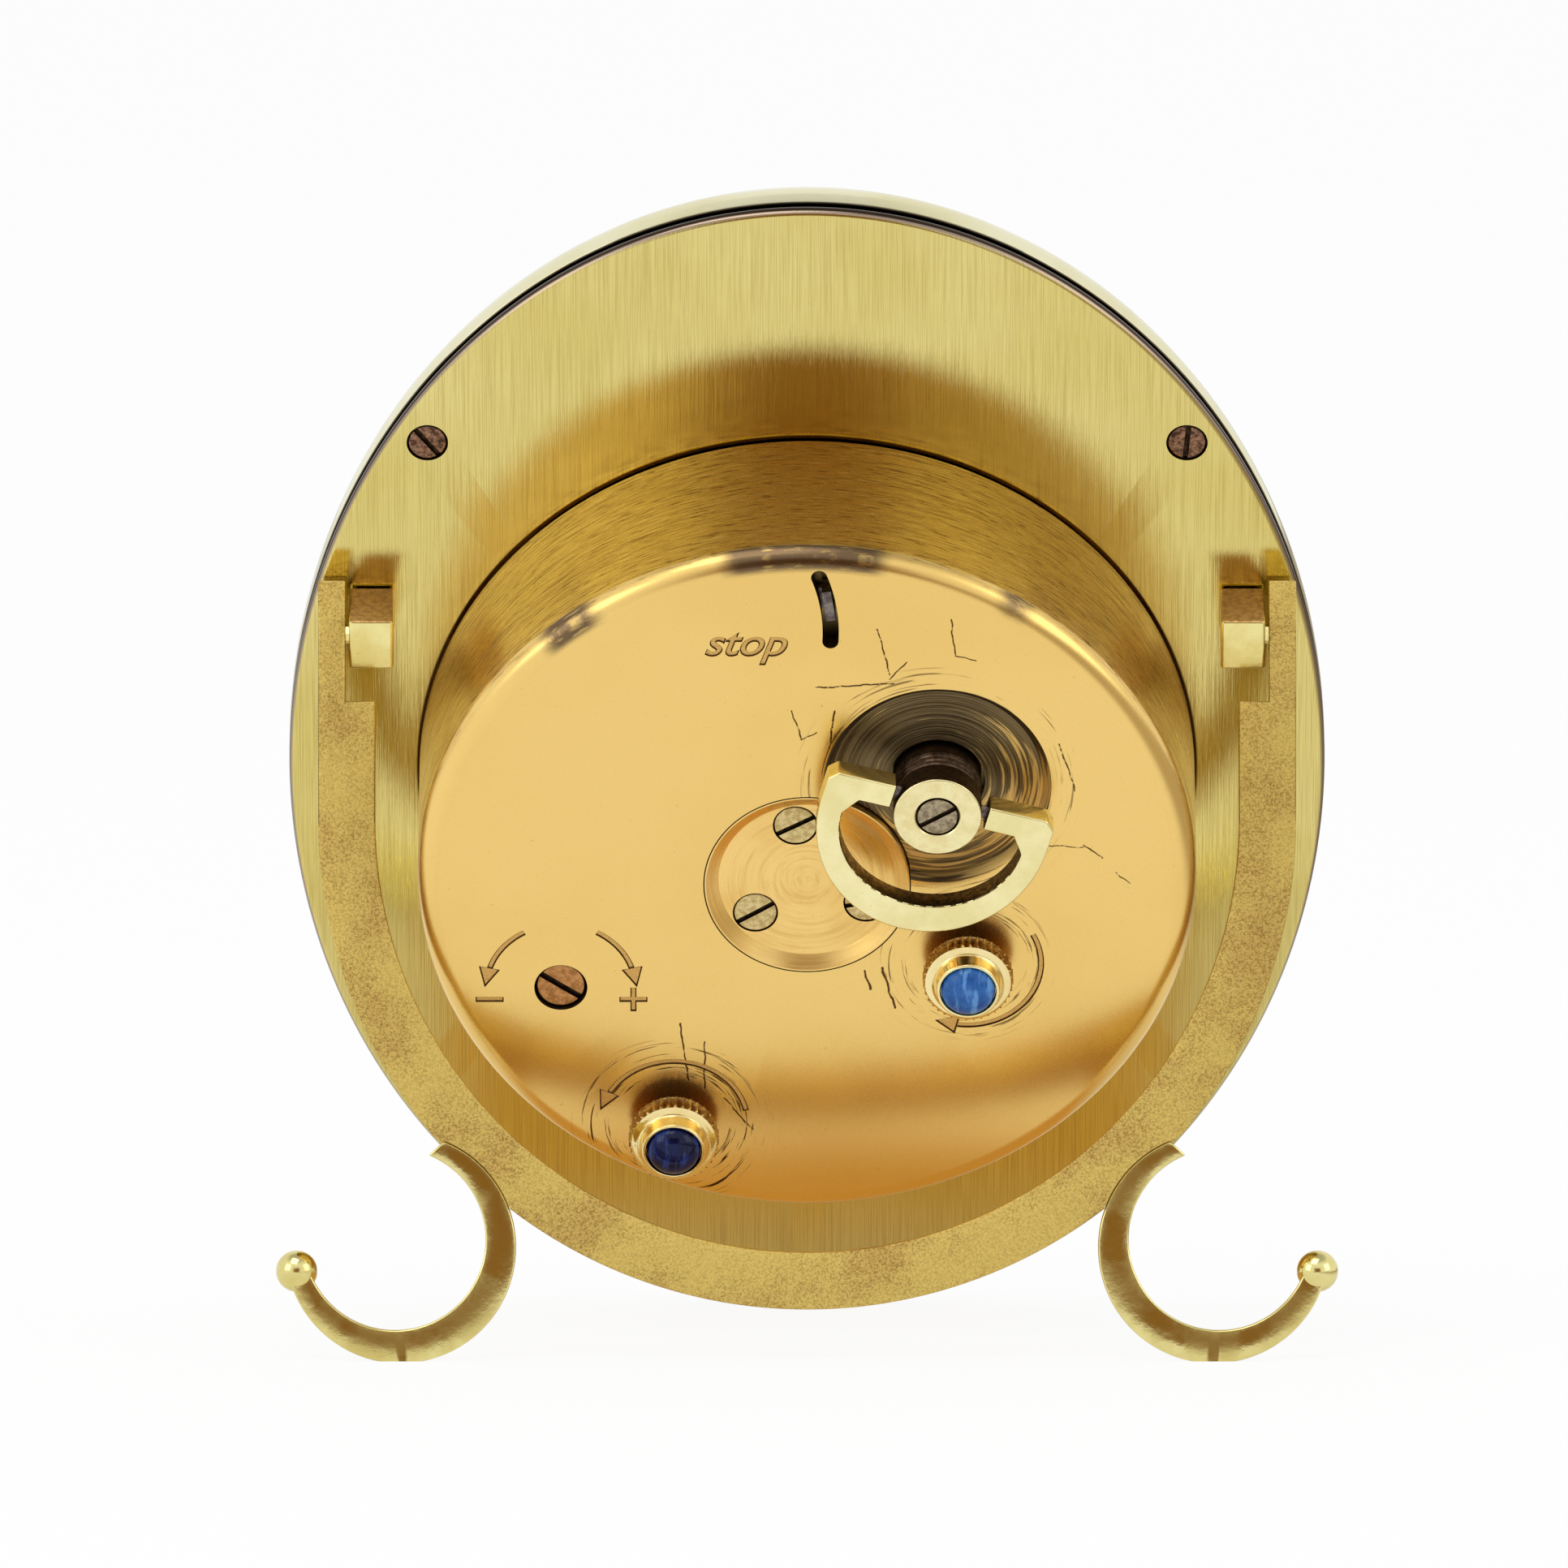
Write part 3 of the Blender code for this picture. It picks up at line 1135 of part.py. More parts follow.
def going_train():
    """Centre, third, fourth and escape wheels, each driven through its pinion."""
    names = ("barrel", "centre", "third", "fourth", "escape")
    wheel_teeth = (BARREL_TEETH, CENTRE_TEETH, THIRD_TEETH, FOURTH_TEETH)
    leaves = (CENTRE_PINION_LEAVES, THIRD_LEAVES, FOURTH_LEAVES, ESCAPE_LEAVES)
    backs = (BARREL_GEAR_BACK, CENTRE_WHEEL_BACK, THIRD_WHEEL_BACK, FOURTH_WHEEL_BACK)
    heights = (BARREL_GEAR_THICKNESS, WHEEL_THICKNESS, WHEEL_THICKNESS, WHEEL_THICKNESS)
    for i, name in enumerate(names[1:]):
        driver, place = train_place(names[i]), train_place(name)
        towards = direction(driver, place)
        _, radius = pair_radii(driver, place, wheel_teeth[i], leaves[i])
        phase = mesh_phase(towards, wheel_teeth[i], towards, leaves[i])
        low, high = backs[i] - heights[i] - PINION_MARGIN, backs[i] + PINION_MARGIN
        pinion = (leaves[i], radius, phase, low, high)
        wheel = None
        if name != "escape":
            following = train_place(names[i + 2])
            radius, _ = pair_radii(place, following, wheel_teeth[i + 1], leaves[i + 1])
            back = backs[i + 1]
            wheel = (wheel_teeth[i + 1], radius, direction(place, following), back - WHEEL_THICKNESS, back)
        front = ARBOR_FRONT
        if name == "centre":
            front = HOUR_HAND_BACK
        piece = train_wheel(f"{name}_wheel", place, wheel, pinion, front, ARBOR_BACK)
        if name == "escape":
            outline = saw_outline(ESCAPE_TEETH, ESCAPE_RADIUS, ESCAPE_TOOTH_DEPTH)
            low = ESCAPE_WHEEL_BACK - WHEEL_THICKNESS
            join(piece, flat("escape_teeth", outline, low, ESCAPE_WHEEL_BACK, CASE, (*place, 0), None))


def escapement():
    """Pallet fork between the escape wheel and the balance, and the balance itself."""
    escape, balance = train_place("escape"), train_place("balance")
    along = direction(escape, balance)
    x, y = polar(PALLET_REACH, along, escape)
    low = ESCAPE_WHEEL_BACK - WHEEL_THICKNESS
    half_bar, half_fork, half_slot = PALLET_WIDTH, FORK_WIDTH / 2, FORK_SLOT_WIDTH / 2
    upper = [
        (-PALLET_DROP, PALLET_SPAN),
        (-PALLET_DROP, PALLET_SPAN - PALLET_WIDTH),
        (-half_bar, PALLET_SPAN - PALLET_WIDTH),
    ]
    tip = [
        (half_bar, half_fork),
        (FORK_LENGTH, half_fork),
        (FORK_LENGTH, half_slot),
        (FORK_LENGTH - FORK_SLOT_DEPTH, half_slot),
    ]
    top = [(half_bar, PALLET_SPAN)]
    outline = upper + [(px, -py) for px, py in reversed(upper)]
    outline += [(px, -py) for px, py in top + tip] + tip[::-1] + top
    fork = flat("pallet_fork", outline, low, ESCAPE_WHEEL_BACK, CASE, (x, y, 0), "dark_steel", along)
    arm_front = BALANCE_BACK - BALANCE_RIM_HEIGHT
    arbor_end = arm_front - SEAT_GAP
    join(fork, rod("pallet_arbor", BALANCE_STAFF_RADIUS, ARBOR_FRONT, arbor_end, CASE, (x, y, 0), None))

    place = (*balance, 0)
    inner = BALANCE_RADIUS - BALANCE_RIM_WIDTH
    outer, back = BALANCE_RADIUS, BALANCE_BACK
    rim = [(inner, back), (outer, back), (outer, arm_front), (inner, arm_front)]
    wheel = turned("balance_wheel", rim, CASE, place, "plain_brass", BARREL_SIDES, True)
    reach = BALANCE_RADIUS - BALANCE_RIM_WIDTH / 2
    staff = [
        (0, ARBOR_BACK),
        (BALANCE_STAFF_RADIUS, ARBOR_BACK),
        (BALANCE_STAFF_RADIUS, ESCAPE_WHEEL_BACK + PIVOT_GAP),
        (ROLLER_RADIUS, ESCAPE_WHEEL_BACK + PIVOT_GAP),
        (ROLLER_RADIUS, low - PIVOT_GAP),
        (BALANCE_STAFF_RADIUS, low - PIVOT_GAP),
        (BALANCE_STAFF_RADIUS, ARBOR_FRONT),
        (0, ARBOR_FRONT),
    ]
    width = BALANCE_ARM_WIDTH
    arm_low, arm_high = arm_front + OVERLAP, BALANCE_BACK - OVERLAP
    join(
        wheel,
        spoke_box("balance_arm", width, -reach, reach, arm_low, arm_high, CASE, place, BALANCE_ARM_TURN),
        turned("balance_staff", staff, CASE, place, None),
    )
    outline = spiral_outline(HAIRSPRING_INNER, HAIRSPRING_OUTER, HAIRSPRING_THICKNESS, HAIRSPRING_TURNS)
    low = BALANCE_BACK + SEAT_GAP
    flat("hairspring", outline, low, low + HAIRSPRING_HEIGHT, CASE, place, "blued_steel")


def alarm_strike():
    """Star wheel and the hammer whose finger it kicks."""
    strike, pivot = train_place("strike"), train_place("hammer")
    low = STRIKE_BACK - HAMMER_THICKNESS
    wheel = rod("strike_wheel", ARBOR_RADIUS, ARBOR_FRONT, ARBOR_BACK, CASE, (*strike, 0), "plain_brass")
    outline = saw_outline(STRIKE_TEETH, STRIKE_RADIUS, STRIKE_TOOTH_DEPTH)
    teeth_low = STRIKE_BACK - WHEEL_THICKNESS
    join(wheel, flat("strike_teeth", outline, teeth_low, STRIKE_BACK, CASE, (*strike, 0), None))

    length = HAMMER_ARM_LENGTH
    head = polar(length, HAMMER_ARM_ANGLE, pivot)
    finger = distance(pivot, strike) - STRIKE_RADIUS - HAMMER_FINGER_GAP
    hammer = rod(
        "alarm_hammer", HAMMER_HEAD_RADIUS, low, STRIKE_BACK, CASE, (*head, 0), "dark_steel", FINE_SIDES
    )
    place = (*pivot, 0)
    towards = direction(pivot, strike)
    width = HAMMER_ARM_WIDTH
    arm_low, arm_high = low + OVERLAP, STRIKE_BACK - OVERLAP
    join(
        hammer,
        spoke_box("hammer_arm", width, 0, length, arm_low, arm_high, CASE, place, HAMMER_ARM_ANGLE),
        rod("hammer_boss", HAMMER_BOSS_RADIUS, low, STRIKE_BACK, CASE, place, None, FINE_SIDES),
        spoke_box("hammer_finger", width / 2, 0, finger, arm_low, arm_high, CASE, place, towards),
        rod("hammer_arbor", ARBOR_RADIUS, ARBOR_FRONT, ARBOR_BACK, CASE, place, None),
    )


def pivot_holes():
    """Radius of each pivot hole that both plates have, by the name of its place."""
    arbor, staff = ARBOR_RADIUS + PIVOT_GAP, BALANCE_STAFF_RADIUS + PIVOT_GAP
    setting = SETTING_ARBOR_RADIUS + PIVOT_GAP
    return {
        "centre": arbor,
        "third": arbor,
        "fourth": arbor,
        "escape": arbor,
        "balance": staff,
        "strike": arbor,
        "hammer": arbor,
        "barrel": BARREL_ARBOR_RADIUS + PIVOT_GAP,
        "time": setting,
        "alarm": setting,
    }


def pallet_place():
    escape, balance = train_place("escape"), train_place("balance")
    return polar(PALLET_REACH, direction(escape, balance), escape)


def movement_plates():
    """Main plate behind the dial, rear plate under the can's back, and their pillars."""
    radius = CAN_BORE - SEAT_GAP
    low, high = MAIN_PLATE_FRONT, MAIN_PLATE_BACK
    main = rod("main_plate", radius, low, high, CASE, (0, 0, 0), "plain_brass", PLATE_SIDES)
    low, high = REAR_PLATE_FRONT, REAR_PLATE_BACK
    rear = rod("rear_plate", REAR_PLATE_RADIUS, low, high, CASE, (0, 0, 0), "plain_brass", PLATE_SIDES)
    stud_low = REAR_PLATE_BACK - OVERLAP
    for x, y in ((STOP_PIVOT_X, STOP_PIVOT_Y), train_place("balance")):
        join(rear, rod("stud", STUD_RADIUS, stud_low, LEVER_BACK, CASE, (x, y, 0), None))
    low, high = MAIN_PLATE_FRONT - OVERRUN, MAIN_PLATE_BACK + OVERRUN
    blind = ARBOR_BACK + PIVOT_GAP
    for name, hole in pivot_holes().items():
        place = train_place(name)
        cut(main, drill(hole, place, low=low, high=high, name=f"{name}_front"))
        top = blind if name == "balance" else REAR_PLATE_BACK + OVERRUN
        cut(rear, drill(hole, place, low=REAR_PLATE_FRONT - OVERRUN, high=top, name=f"{name}_back"))
    staff = BALANCE_STAFF_RADIUS + PIVOT_GAP
    cut(main, drill(staff, pallet_place(), low=low, high=high, name="pallet_hole"))
    motion = MOTION_PIVOT_RADIUS + PIVOT_GAP
    for place in (minute_place(), idler_place()):
        cut(main, drill(motion, place, low=low, high=high, name="motion_hole"))
    shank = REGULATOR_SHANK_RADIUS + PIVOT_GAP
    low, high = REAR_PLATE_FRONT - OVERRUN, REAR_PLATE_BACK + OVERRUN
    cut(rear, drill(shank, (REGULATOR_X, REGULATOR_Y), low=low, high=high, name="regulator_hole"))
    screw = CAP_SCREW_SHANK_RADIUS + PIVOT_GAP
    for angle in CAP_SCREW_ANGLES:
        cut(rear, drill(screw, polar(CAP_SCREW_CIRCLE, angle), low=low, high=high, name="cap_hole"))
    for number, angle in enumerate(PILLAR_ANGLES, 1):
        place = (*polar(PILLAR_CIRCLE, angle), 0)
        low, high = MAIN_PLATE_BACK + SEAT_GAP, REAR_PLATE_FRONT - SEAT_GAP
        rod(f"pillar_{number}", PILLAR_RADIUS, low, high, CASE, place, "plain_brass", ARBOR_SIDES)


def minute_place():
    """The minute wheel stands midway between the centre and the time arbor."""
    return (TIME_X / 2, TIME_Y / 2)


def motion_radii():
    """Pitch radii of cannon pinion, minute wheel, its pinion and the hour wheel."""
    centre, minute = (0, 0), minute_place()
    cannon, wheel = pair_radii(centre, minute, CANNON_TEETH, MINUTE_TEETH)
    hour, pinion = pair_radii(centre, minute, HOUR_TEETH, MINUTE_LEAVES)
    return cannon, wheel, pinion, hour


def alarm_radii():
    """Pitch radii of the alarm wheel, the idler and the alarm arbor's pinion."""
    reach = distance((0, 0), (ALARM_X, ALARM_Y))
    module = reach / (ALARM_TEETH + 2 * IDLER_TEETH + ALARM_LEAVES)
    return module * ALARM_TEETH, module * IDLER_TEETH, module * ALARM_LEAVES


def idler_place():
    wheel, idler, _ = alarm_radii()
    return polar(wheel + idler, direction((0, 0), (ALARM_X, ALARM_Y)))


def sleeve(name, outer, bore, low, high, finish):
    profile = [(bore, high), (outer, high), (outer, low), (bore, low)]
    return turned(name, profile, CASE, (0, 0, 0), finish, TUBE_SIDES, True)


def motion_work():
    """Setting arbors, minute wheel, cannon pinion, hour wheel, and the alarm's wheels."""
    cannon_r, minute_r, pinion_r, hour_r = motion_radii()
    centre, minute, time = (0, 0), minute_place(), train_place("time")
    towards = direction(centre, minute)
    cannon_phase = towards
    minute_phase = mesh_phase(cannon_phase, CANNON_TEETH, towards, MINUTE_TEETH)
    time_phase = mesh_phase(minute_phase, MINUTE_TEETH, towards, CANNON_TEETH)
    hour_phase = towards
    pinion_phase = mesh_phase(hour_phase, HOUR_TEETH, towards, MINUTE_LEAVES)

    pinion_low = MINUTE_WHEEL_FRONT - HUB_GAP
    pinion_high = MINUTE_WHEEL_BACK + HUB_GAP
    train_wheel(
        "minute_wheel",
        minute,
        (MINUTE_TEETH, minute_r, minute_phase, MINUTE_WHEEL_FRONT, MINUTE_WHEEL_BACK),
        (MINUTE_LEAVES, pinion_r, pinion_phase, HOUR_WHEEL_FRONT - HUB_GAP, MINUTE_WHEEL_BACK - OVERLAP),
        HOUR_WHEEL_FRONT - HUB_GAP,
        (MAIN_PLATE_FRONT + MAIN_PLATE_BACK) / 2,
        MOTION_PIVOT_RADIUS,
    )
    tip = MINUTE_HAND_BACK - HAND_THICKNESS - TUBE_TIP
    bore = ARBOR_RADIUS + HUB_GAP
    cannon = sleeve("cannon_pinion", CANNON_RADIUS, bore, tip, pinion_high, "plain_brass")
    middle = (CANNON_RADIUS + bore) / 2
    low, high = pinion_low, pinion_high
    join(cannon, gear_ring("cannon_teeth", CANNON_TEETH, cannon_r, cannon_phase, low, high, middle))
    tip = HOUR_HAND_BACK - HAND_THICKNESS - TUBE_TIP
    bore = CANNON_RADIUS + PIVOT_GAP
    hour = sleeve("hour_wheel", HOUR_TUBE_RADIUS, bore, tip, HOUR_WHEEL_BACK, "plain_brass")
    middle = (HOUR_TUBE_RADIUS + bore) / 2
    low, high = HOUR_WHEEL_FRONT, HOUR_WHEEL_BACK
    join(hour, gear_ring("hour_teeth", HOUR_TEETH, hour_r, hour_phase, low, high, middle))

    low, high = pinion_low, pinion_high
    arbor = rod(
        "time_arbor", SETTING_ARBOR_RADIUS, low, CROWN_FRONT - SEAT_GAP, CASE, (*time, 0), "dark_steel"
    )
    join(arbor, gear("time_pinion", CANNON_TEETH, cannon_r, time_phase, low, high, time))
    alarm_work()


def gear_ring(name, teeth, radius, phase, low, high, hole):
    """A toothed disc on the centre line, whose hole lies inside a sleeve's wall."""
    outline = gear_outline(teeth, radius, phase)
    return flat(name, outline, low, high, CASE, (0, 0, 0), None, holes=(circle(hole, TUBE_SIDES),))


def alarm_work():
    """Alarm wheel on the hour tube, idler, and the arbor with its pinion."""
    wheel_r, idler_r, pinion_r = alarm_radii()
    centre, place = (0, 0), train_place("alarm")
    towards = direction(centre, place)
    idler_phase = mesh_phase(towards, ALARM_TEETH, towards, IDLER_TEETH)
    pinion_phase = mesh_phase(idler_phase, IDLER_TEETH, towards, ALARM_LEAVES)
    low, high = ALARM_WHEEL_FRONT, ALARM_WHEEL_BACK
    tip = ALARM_HAND_BACK - HAND_THICKNESS - TUBE_TIP
    bore = HOUR_TUBE_RADIUS + PIVOT_GAP
    wheel = sleeve("alarm_wheel", ALARM_TUBE_RADIUS, bore, tip, high, "plain_brass")
    middle = (ALARM_TUBE_RADIUS + bore) / 2
    join(wheel, gear_ring("alarm_teeth", ALARM_TEETH, wheel_r, towards, low, high, middle))
    back = (MAIN_PLATE_FRONT + MAIN_PLATE_BACK) / 2
    teeth = (IDLER_TEETH, idler_r, idler_phase, low, high)
    train_wheel("alarm_idler", idler_place(), teeth, None, low, back, MOTION_PIVOT_RADIUS)
    arbor = rod(
        "alarm_arbor", SETTING_ARBOR_RADIUS, low, CROWN_FRONT - SEAT_GAP, CASE, (*place, 0), "dark_steel"
    )
    join(arbor, gear("alarm_pinion", ALARM_LEAVES, pinion_r, pinion_phase, low - HUB_GAP, high, place))


def hand(name, length, width, tube, back, turn, finish):
    """Leaf-shaped hand with a round hub, bored for its tube."""
    half = width / 2
    hub = tube + HUB_GAP + HAND_HUB_WIDTH
    waist, belly = length * HAND_WAIST_SHARE, length * HAND_BELLY_SHARE
    neck = half / 2
    start = math.asin(neck / hub)
    outline = arc(hub, start, TAU - start, FINE_SIDES)
    tip = neck * HAND_TIP_SHARE
    side = [(waist, neck), (belly, half), (length, tip)]
    outline += [(x, -y) for x, y in side] + side[::-1]
    bore = circle(tube + HUB_GAP, TUBE_SIDES)
    flat(name, outline, back - HAND_THICKNESS, back, CASE, (0, 0, 0), finish, math.pi / 2 + turn, (bore,))


def hands():
    hand(
        "minute_hand",
        MINUTE_HAND_LENGTH,
        MINUTE_HAND_WIDTH,
        CANNON_RADIUS,
        MINUTE_HAND_BACK,
        MINUTE_HAND_TURN,
        "blued_steel",
    )
    hand(
        "hour_hand",
        HOUR_HAND_LENGTH,
        HOUR_HAND_WIDTH,
        HOUR_TUBE_RADIUS,
        HOUR_HAND_BACK,
        HOUR_HAND_TURN,
        "blued_steel",
    )
    hand(
        "alarm_hand",
        ALARM_HAND_LENGTH,
        ALARM_HAND_WIDTH,
        ALARM_TUBE_RADIUS,
        ALARM_HAND_BACK,
        ALARM_HAND_TURN,
        "plain_brass",
    )


def stand_on_floor():
    """Sets the clock on the floor, centred between its frontmost and rearmost points."""
    lowest = -CASE_HALF_HEIGHT * math.cos(LEAN) - EDGE_Z * math.sin(LEAN)
    ORIGIN.location.z = -lowest - FLOOR_CUT
    bpy.context.view_layer.update()
    graph = bpy.context.evaluated_depsgraph_get()
    depths = []
    for piece in CLOCK.objects:
        if piece.type == "MESH":
            shape = piece.evaluated_get(graph)
            depths += [(shape.matrix_world @ vertex.co).y for vertex in shape.data.vertices]
    ORIGIN.location.y = -(min(depths) + max(depths)) / 2


back_plate()
case_band()
case_screws()
crystal_and_dial()
movement_can()
inset_cap()
winding_key()
crown("time", TIME_X, TIME_Y, "light_blue_stone")
crown("alarm", ALARM_X, ALARM_Y, "dark_blue_stone")
stop_lever()
regulator()
hinge_lugs()
strut_ring()
foot("left", -1)
foot("right", 1)
movement_plates()
barrel()
going_train()
escapement()
alarm_strike()
motion_work()
hands()
stand_on_floor()
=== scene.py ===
"""Looks of the travel alarm clock: pieces, finishes, studio and camera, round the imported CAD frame."""

import json
import math

import bmesh
import bpy
from mathutils import Matrix, Vector


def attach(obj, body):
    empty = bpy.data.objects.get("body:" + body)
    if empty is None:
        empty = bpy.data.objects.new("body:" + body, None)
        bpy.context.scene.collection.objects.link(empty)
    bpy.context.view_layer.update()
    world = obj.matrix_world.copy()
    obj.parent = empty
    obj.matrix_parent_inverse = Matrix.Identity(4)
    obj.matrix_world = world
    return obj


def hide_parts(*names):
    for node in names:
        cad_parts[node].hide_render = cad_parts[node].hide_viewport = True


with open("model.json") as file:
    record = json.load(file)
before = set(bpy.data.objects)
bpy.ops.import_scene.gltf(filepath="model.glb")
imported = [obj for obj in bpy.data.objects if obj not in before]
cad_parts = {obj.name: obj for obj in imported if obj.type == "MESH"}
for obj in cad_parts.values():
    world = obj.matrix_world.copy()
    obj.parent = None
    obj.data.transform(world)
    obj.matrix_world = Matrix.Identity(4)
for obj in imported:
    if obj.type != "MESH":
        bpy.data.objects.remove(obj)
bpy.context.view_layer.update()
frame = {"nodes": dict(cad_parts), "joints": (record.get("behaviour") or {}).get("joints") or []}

MM = 0.001
TAU = 2 * math.pi
MERGE = 0.0001 * MM
CLEAR = 1.0 * MM  # how far a cutter reaches past what it cuts
ROUND_STEPS = 160
OVAL_STEPS = 240
SMALL_STEPS = 64
ORIGIN = (0, 0, 0)
UPWARD = (0, 0, 1)
SIDES = (("left", -1), ("right", 1))

# The frames that the pieces are drawn in: the case, its folding strut, the key and the key's bow
JOINTS = {joint["name"]: joint for joint in frame["joints"]}


def joint_place(name):
    return Matrix.Translation(JOINTS[name]["pos_m"])


case_axis = Vector(JOINTS["minute_hand_spin"]["axis"]).normalized()
case_right = Vector((-1, 0, 0))
case_turn = Matrix((case_right, case_axis.cross(case_right), case_axis)).transposed().to_4x4()
STRUT_ANGLE = math.radians(32.0)
KEY_TURN = Matrix.Rotation(math.radians(-15.5), 4, "Z")
CASE = joint_place("minute_hand_spin") @ case_turn
STRUT = joint_place("strut_fold") @ case_turn @ Matrix.Rotation(-STRUT_ANGLE, 4, "X")
KEY = joint_place("key_wind") @ case_turn @ KEY_TURN
BOW = joint_place("bow_fold") @ case_turn @ KEY_TURN

# Case and dial sizes, as in the part
CASE_HALF_WIDTH = 40.1 * MM
CASE_HALF_HEIGHT = 50.3 * MM
PLATE_THICKNESS = 1.2 * MM
PLATE_EDGE = 0.5 * MM
BAND_BACK = -1.5 * MM
BAND_STRAIGHT = 1.1 * MM
BAND_CURVE_DEPTH = 4.8 * MM
BAND_CURVE_INSET = 6.2 * MM
BAND_WALL = 5.6 * MM
BAND_CHAMFER = 0.12 * MM
LIP_OVERHANG = 1.0 * MM
LIP_THICKNESS = 0.6 * MM
LIP_CHAMFER = 0.15 * MM
BAND_FRONT = BAND_BACK - BAND_STRAIGHT - BAND_CURVE_DEPTH
GLASS_GAP = 0.3 * MM
CRYSTAL_BACK = -5.5 * MM
CRYSTAL_RIM = -6.1 * MM
CRYSTAL_DOME = 1.0 * MM
CRYSTAL_TIP = 0.01 * MM
DIAL_BACK = -2.0 * MM
DIAL_FRONT = -2.5 * MM
DIAL_HOLE = 2.4 * MM
CASE_SCREW_ANGLE = math.radians(38.4)
CASE_SCREW_TURNS = (-0.9, 1.48, 1.35, 0.3)
CASE_SCREW_RADIUS = 1.45 * MM
CASE_SCREW_SUNK = 0.03 * MM
CASE_WELL_RADIUS = 1.6 * MM
CASE_WELL_DEPTH = 0.75 * MM

# Dial print, its insets measured from the case's outline
FIGURES = ("XII", "I", "II", "III", "IIII", "V", "VI", "VII", "VIII", "IX", "X", "XI")
FIGURE_INSET = 11.6 * MM
FIGURE_SIZE = 4.6 * MM
FIGURE_STRETCH = 1.25
PRINT_HALF = 0.02 * MM
TRACK_INSETS = (7.1 * MM, 8.3 * MM)
TRACK_LINE = 0.1 * MM
TICK_INSET = 7.7 * MM
HOUR_TICK = (0.16 * MM, 0.75 * MM)
MINUTE_TICK = (0.06 * MM, 0.55 * MM)

# Can, cap and what is sunk in them
CAN_RADIUS = 30.0 * MM
CAN_DEPTH = 17.0 * MM
CAN_BORE = 28.6 * MM
CAN_INSIDE = 15.6 * MM
CUTTER_LOW = CAN_INSIDE - CLEAR
CUTTER_HIGH = CAN_DEPTH + CLEAR
CAN_SEAT = 0.3 * MM
CAN_SEAT_CHAMFER = 0.25 * MM
SPIGOT_RADIUS = 29.3 * MM
CAN_EDGE = 1.7 * MM
ARBOR_HOLE = 1.35 * MM
CAP_RADIUS = 7.9 * MM
CAP_HOLE = 8.0 * MM
CAP_CHAMFER = 0.85 * MM
CAP_RECESS = 0.75 * MM
CAP_RIM = 0.12 * MM
CAP_BOTTOM = 14.7 * MM
CAP_SCREW_CIRCLE = 5.0 * MM
CAP_SCREW_ANGLES = (1.75, 3.79, 5.85)
CAP_SCREW_TURNS = (0.5, 0.55, 0.2)
CAP_SCREW_RADIUS = 1.65 * MM
CAP_WELL_DEPTH = 0.7 * MM
WINDING = (10.0 * MM, 9.0 * MM)
DISH_RADIUS = 8.7 * MM
DISH_DEPTH = 0.8 * MM
DISH_SLOPE = 0.6 * MM
REGULATOR = (-19.0 * MM, -9.4 * MM)
REGULATOR_RADIUS = 1.87 * MM
REGULATOR_HOLE = 2.05 * MM
REGULATOR_TURN = -0.6
REGULATOR_SUNK = 0.3 * MM
STOP_PIVOT = (-12.5 * MM, 22.9 * MM)
STOP_RADIUS = 14.3 * MM
STOP_SLOT = 1.25 * MM
STOP_START = math.radians(-3.2)
STOP_END = math.radians(20.3)

# Screw heads, in millimetres: height, slot width, slot depth and shank length
CASE_SCREW = (0.55, 0.42, 0.34, 2.0)
CAP_SCREW = (0.6, 0.4, 0.34, 2.0)
REGULATOR_SCREW = (0.8, 0.5, 0.45, 0.3)
KEY_SCREW = (0.55, 0.38, 0.3, 0.1)

# Engraving on the can's back
ENGRAVED_DEPTH = 0.12 * MM
STROKE = 0.5 * MM
WALL_SLOPE = 0.11 * MM
ARROW_HEAD = 1.0 * MM
HEAD_STRETCH = 1.25
SIGN_REACH = 1.1 * MM
MINUS_PLACE = (-24.5 * MM, -10.5 * MM)
PLUS_PLACE = (-13.4 * MM, -10.5 * MM)
WORD_PLACE = (-4.85 * MM, 21.9 * MM)
WORD_SIZE = 3.5 * MM
WORD_SLANT = 0.35
CUT_LOW = CAN_DEPTH - ENGRAVED_DEPTH
CUT_HIGH = CAN_DEPTH + 0.02 * MM

# Key, crowns and stones
KEY_RADIUS = 3.4 * MM
KEY_TOP = 21.5 * MM
KEY_LOW = 14.7 * MM
KEY_EDGE = 0.18 * MM
KEY_RIBS_TOP = 19.3 * MM
KEY_RIB_PITCH = 0.6 * MM
KEY_RIB_DEPTH = 0.25 * MM
# One groove between the ribs: share of the pitch, share of the depth
KEY_RIB = ((0, 0), (0.15, 0.6), (0.4, 1.0), (0.6, 1.0), (0.85, 0.6))
KEY_SCREW_RADIUS = 1.55 * MM
KEY_SCREW_TURN = 0.8
BOW_THICKNESS = 2.0 * MM
BOW_HALF_WIDTH = 9.0 * MM
BOW_HEIGHT = 9.7 * MM
BOW_CENTRE = -1.0 * MM
BOW_TOP = 1.7 * MM
BOW_CORNER = 0.7 * MM
BOW_HOLLOW = (7.1 * MM, 6.6 * MM, -1.7 * MM, -0.3 * MM, 6.15 * MM)
BOW_OPENING = 3.7 * MM
BOW_PIVOT_DROP = 0.7 * MM
TIME_CROWN = (12.4 * MM, -7.2 * MM)
ALARM_CROWN = (-10.3 * MM, -21.9 * MM)
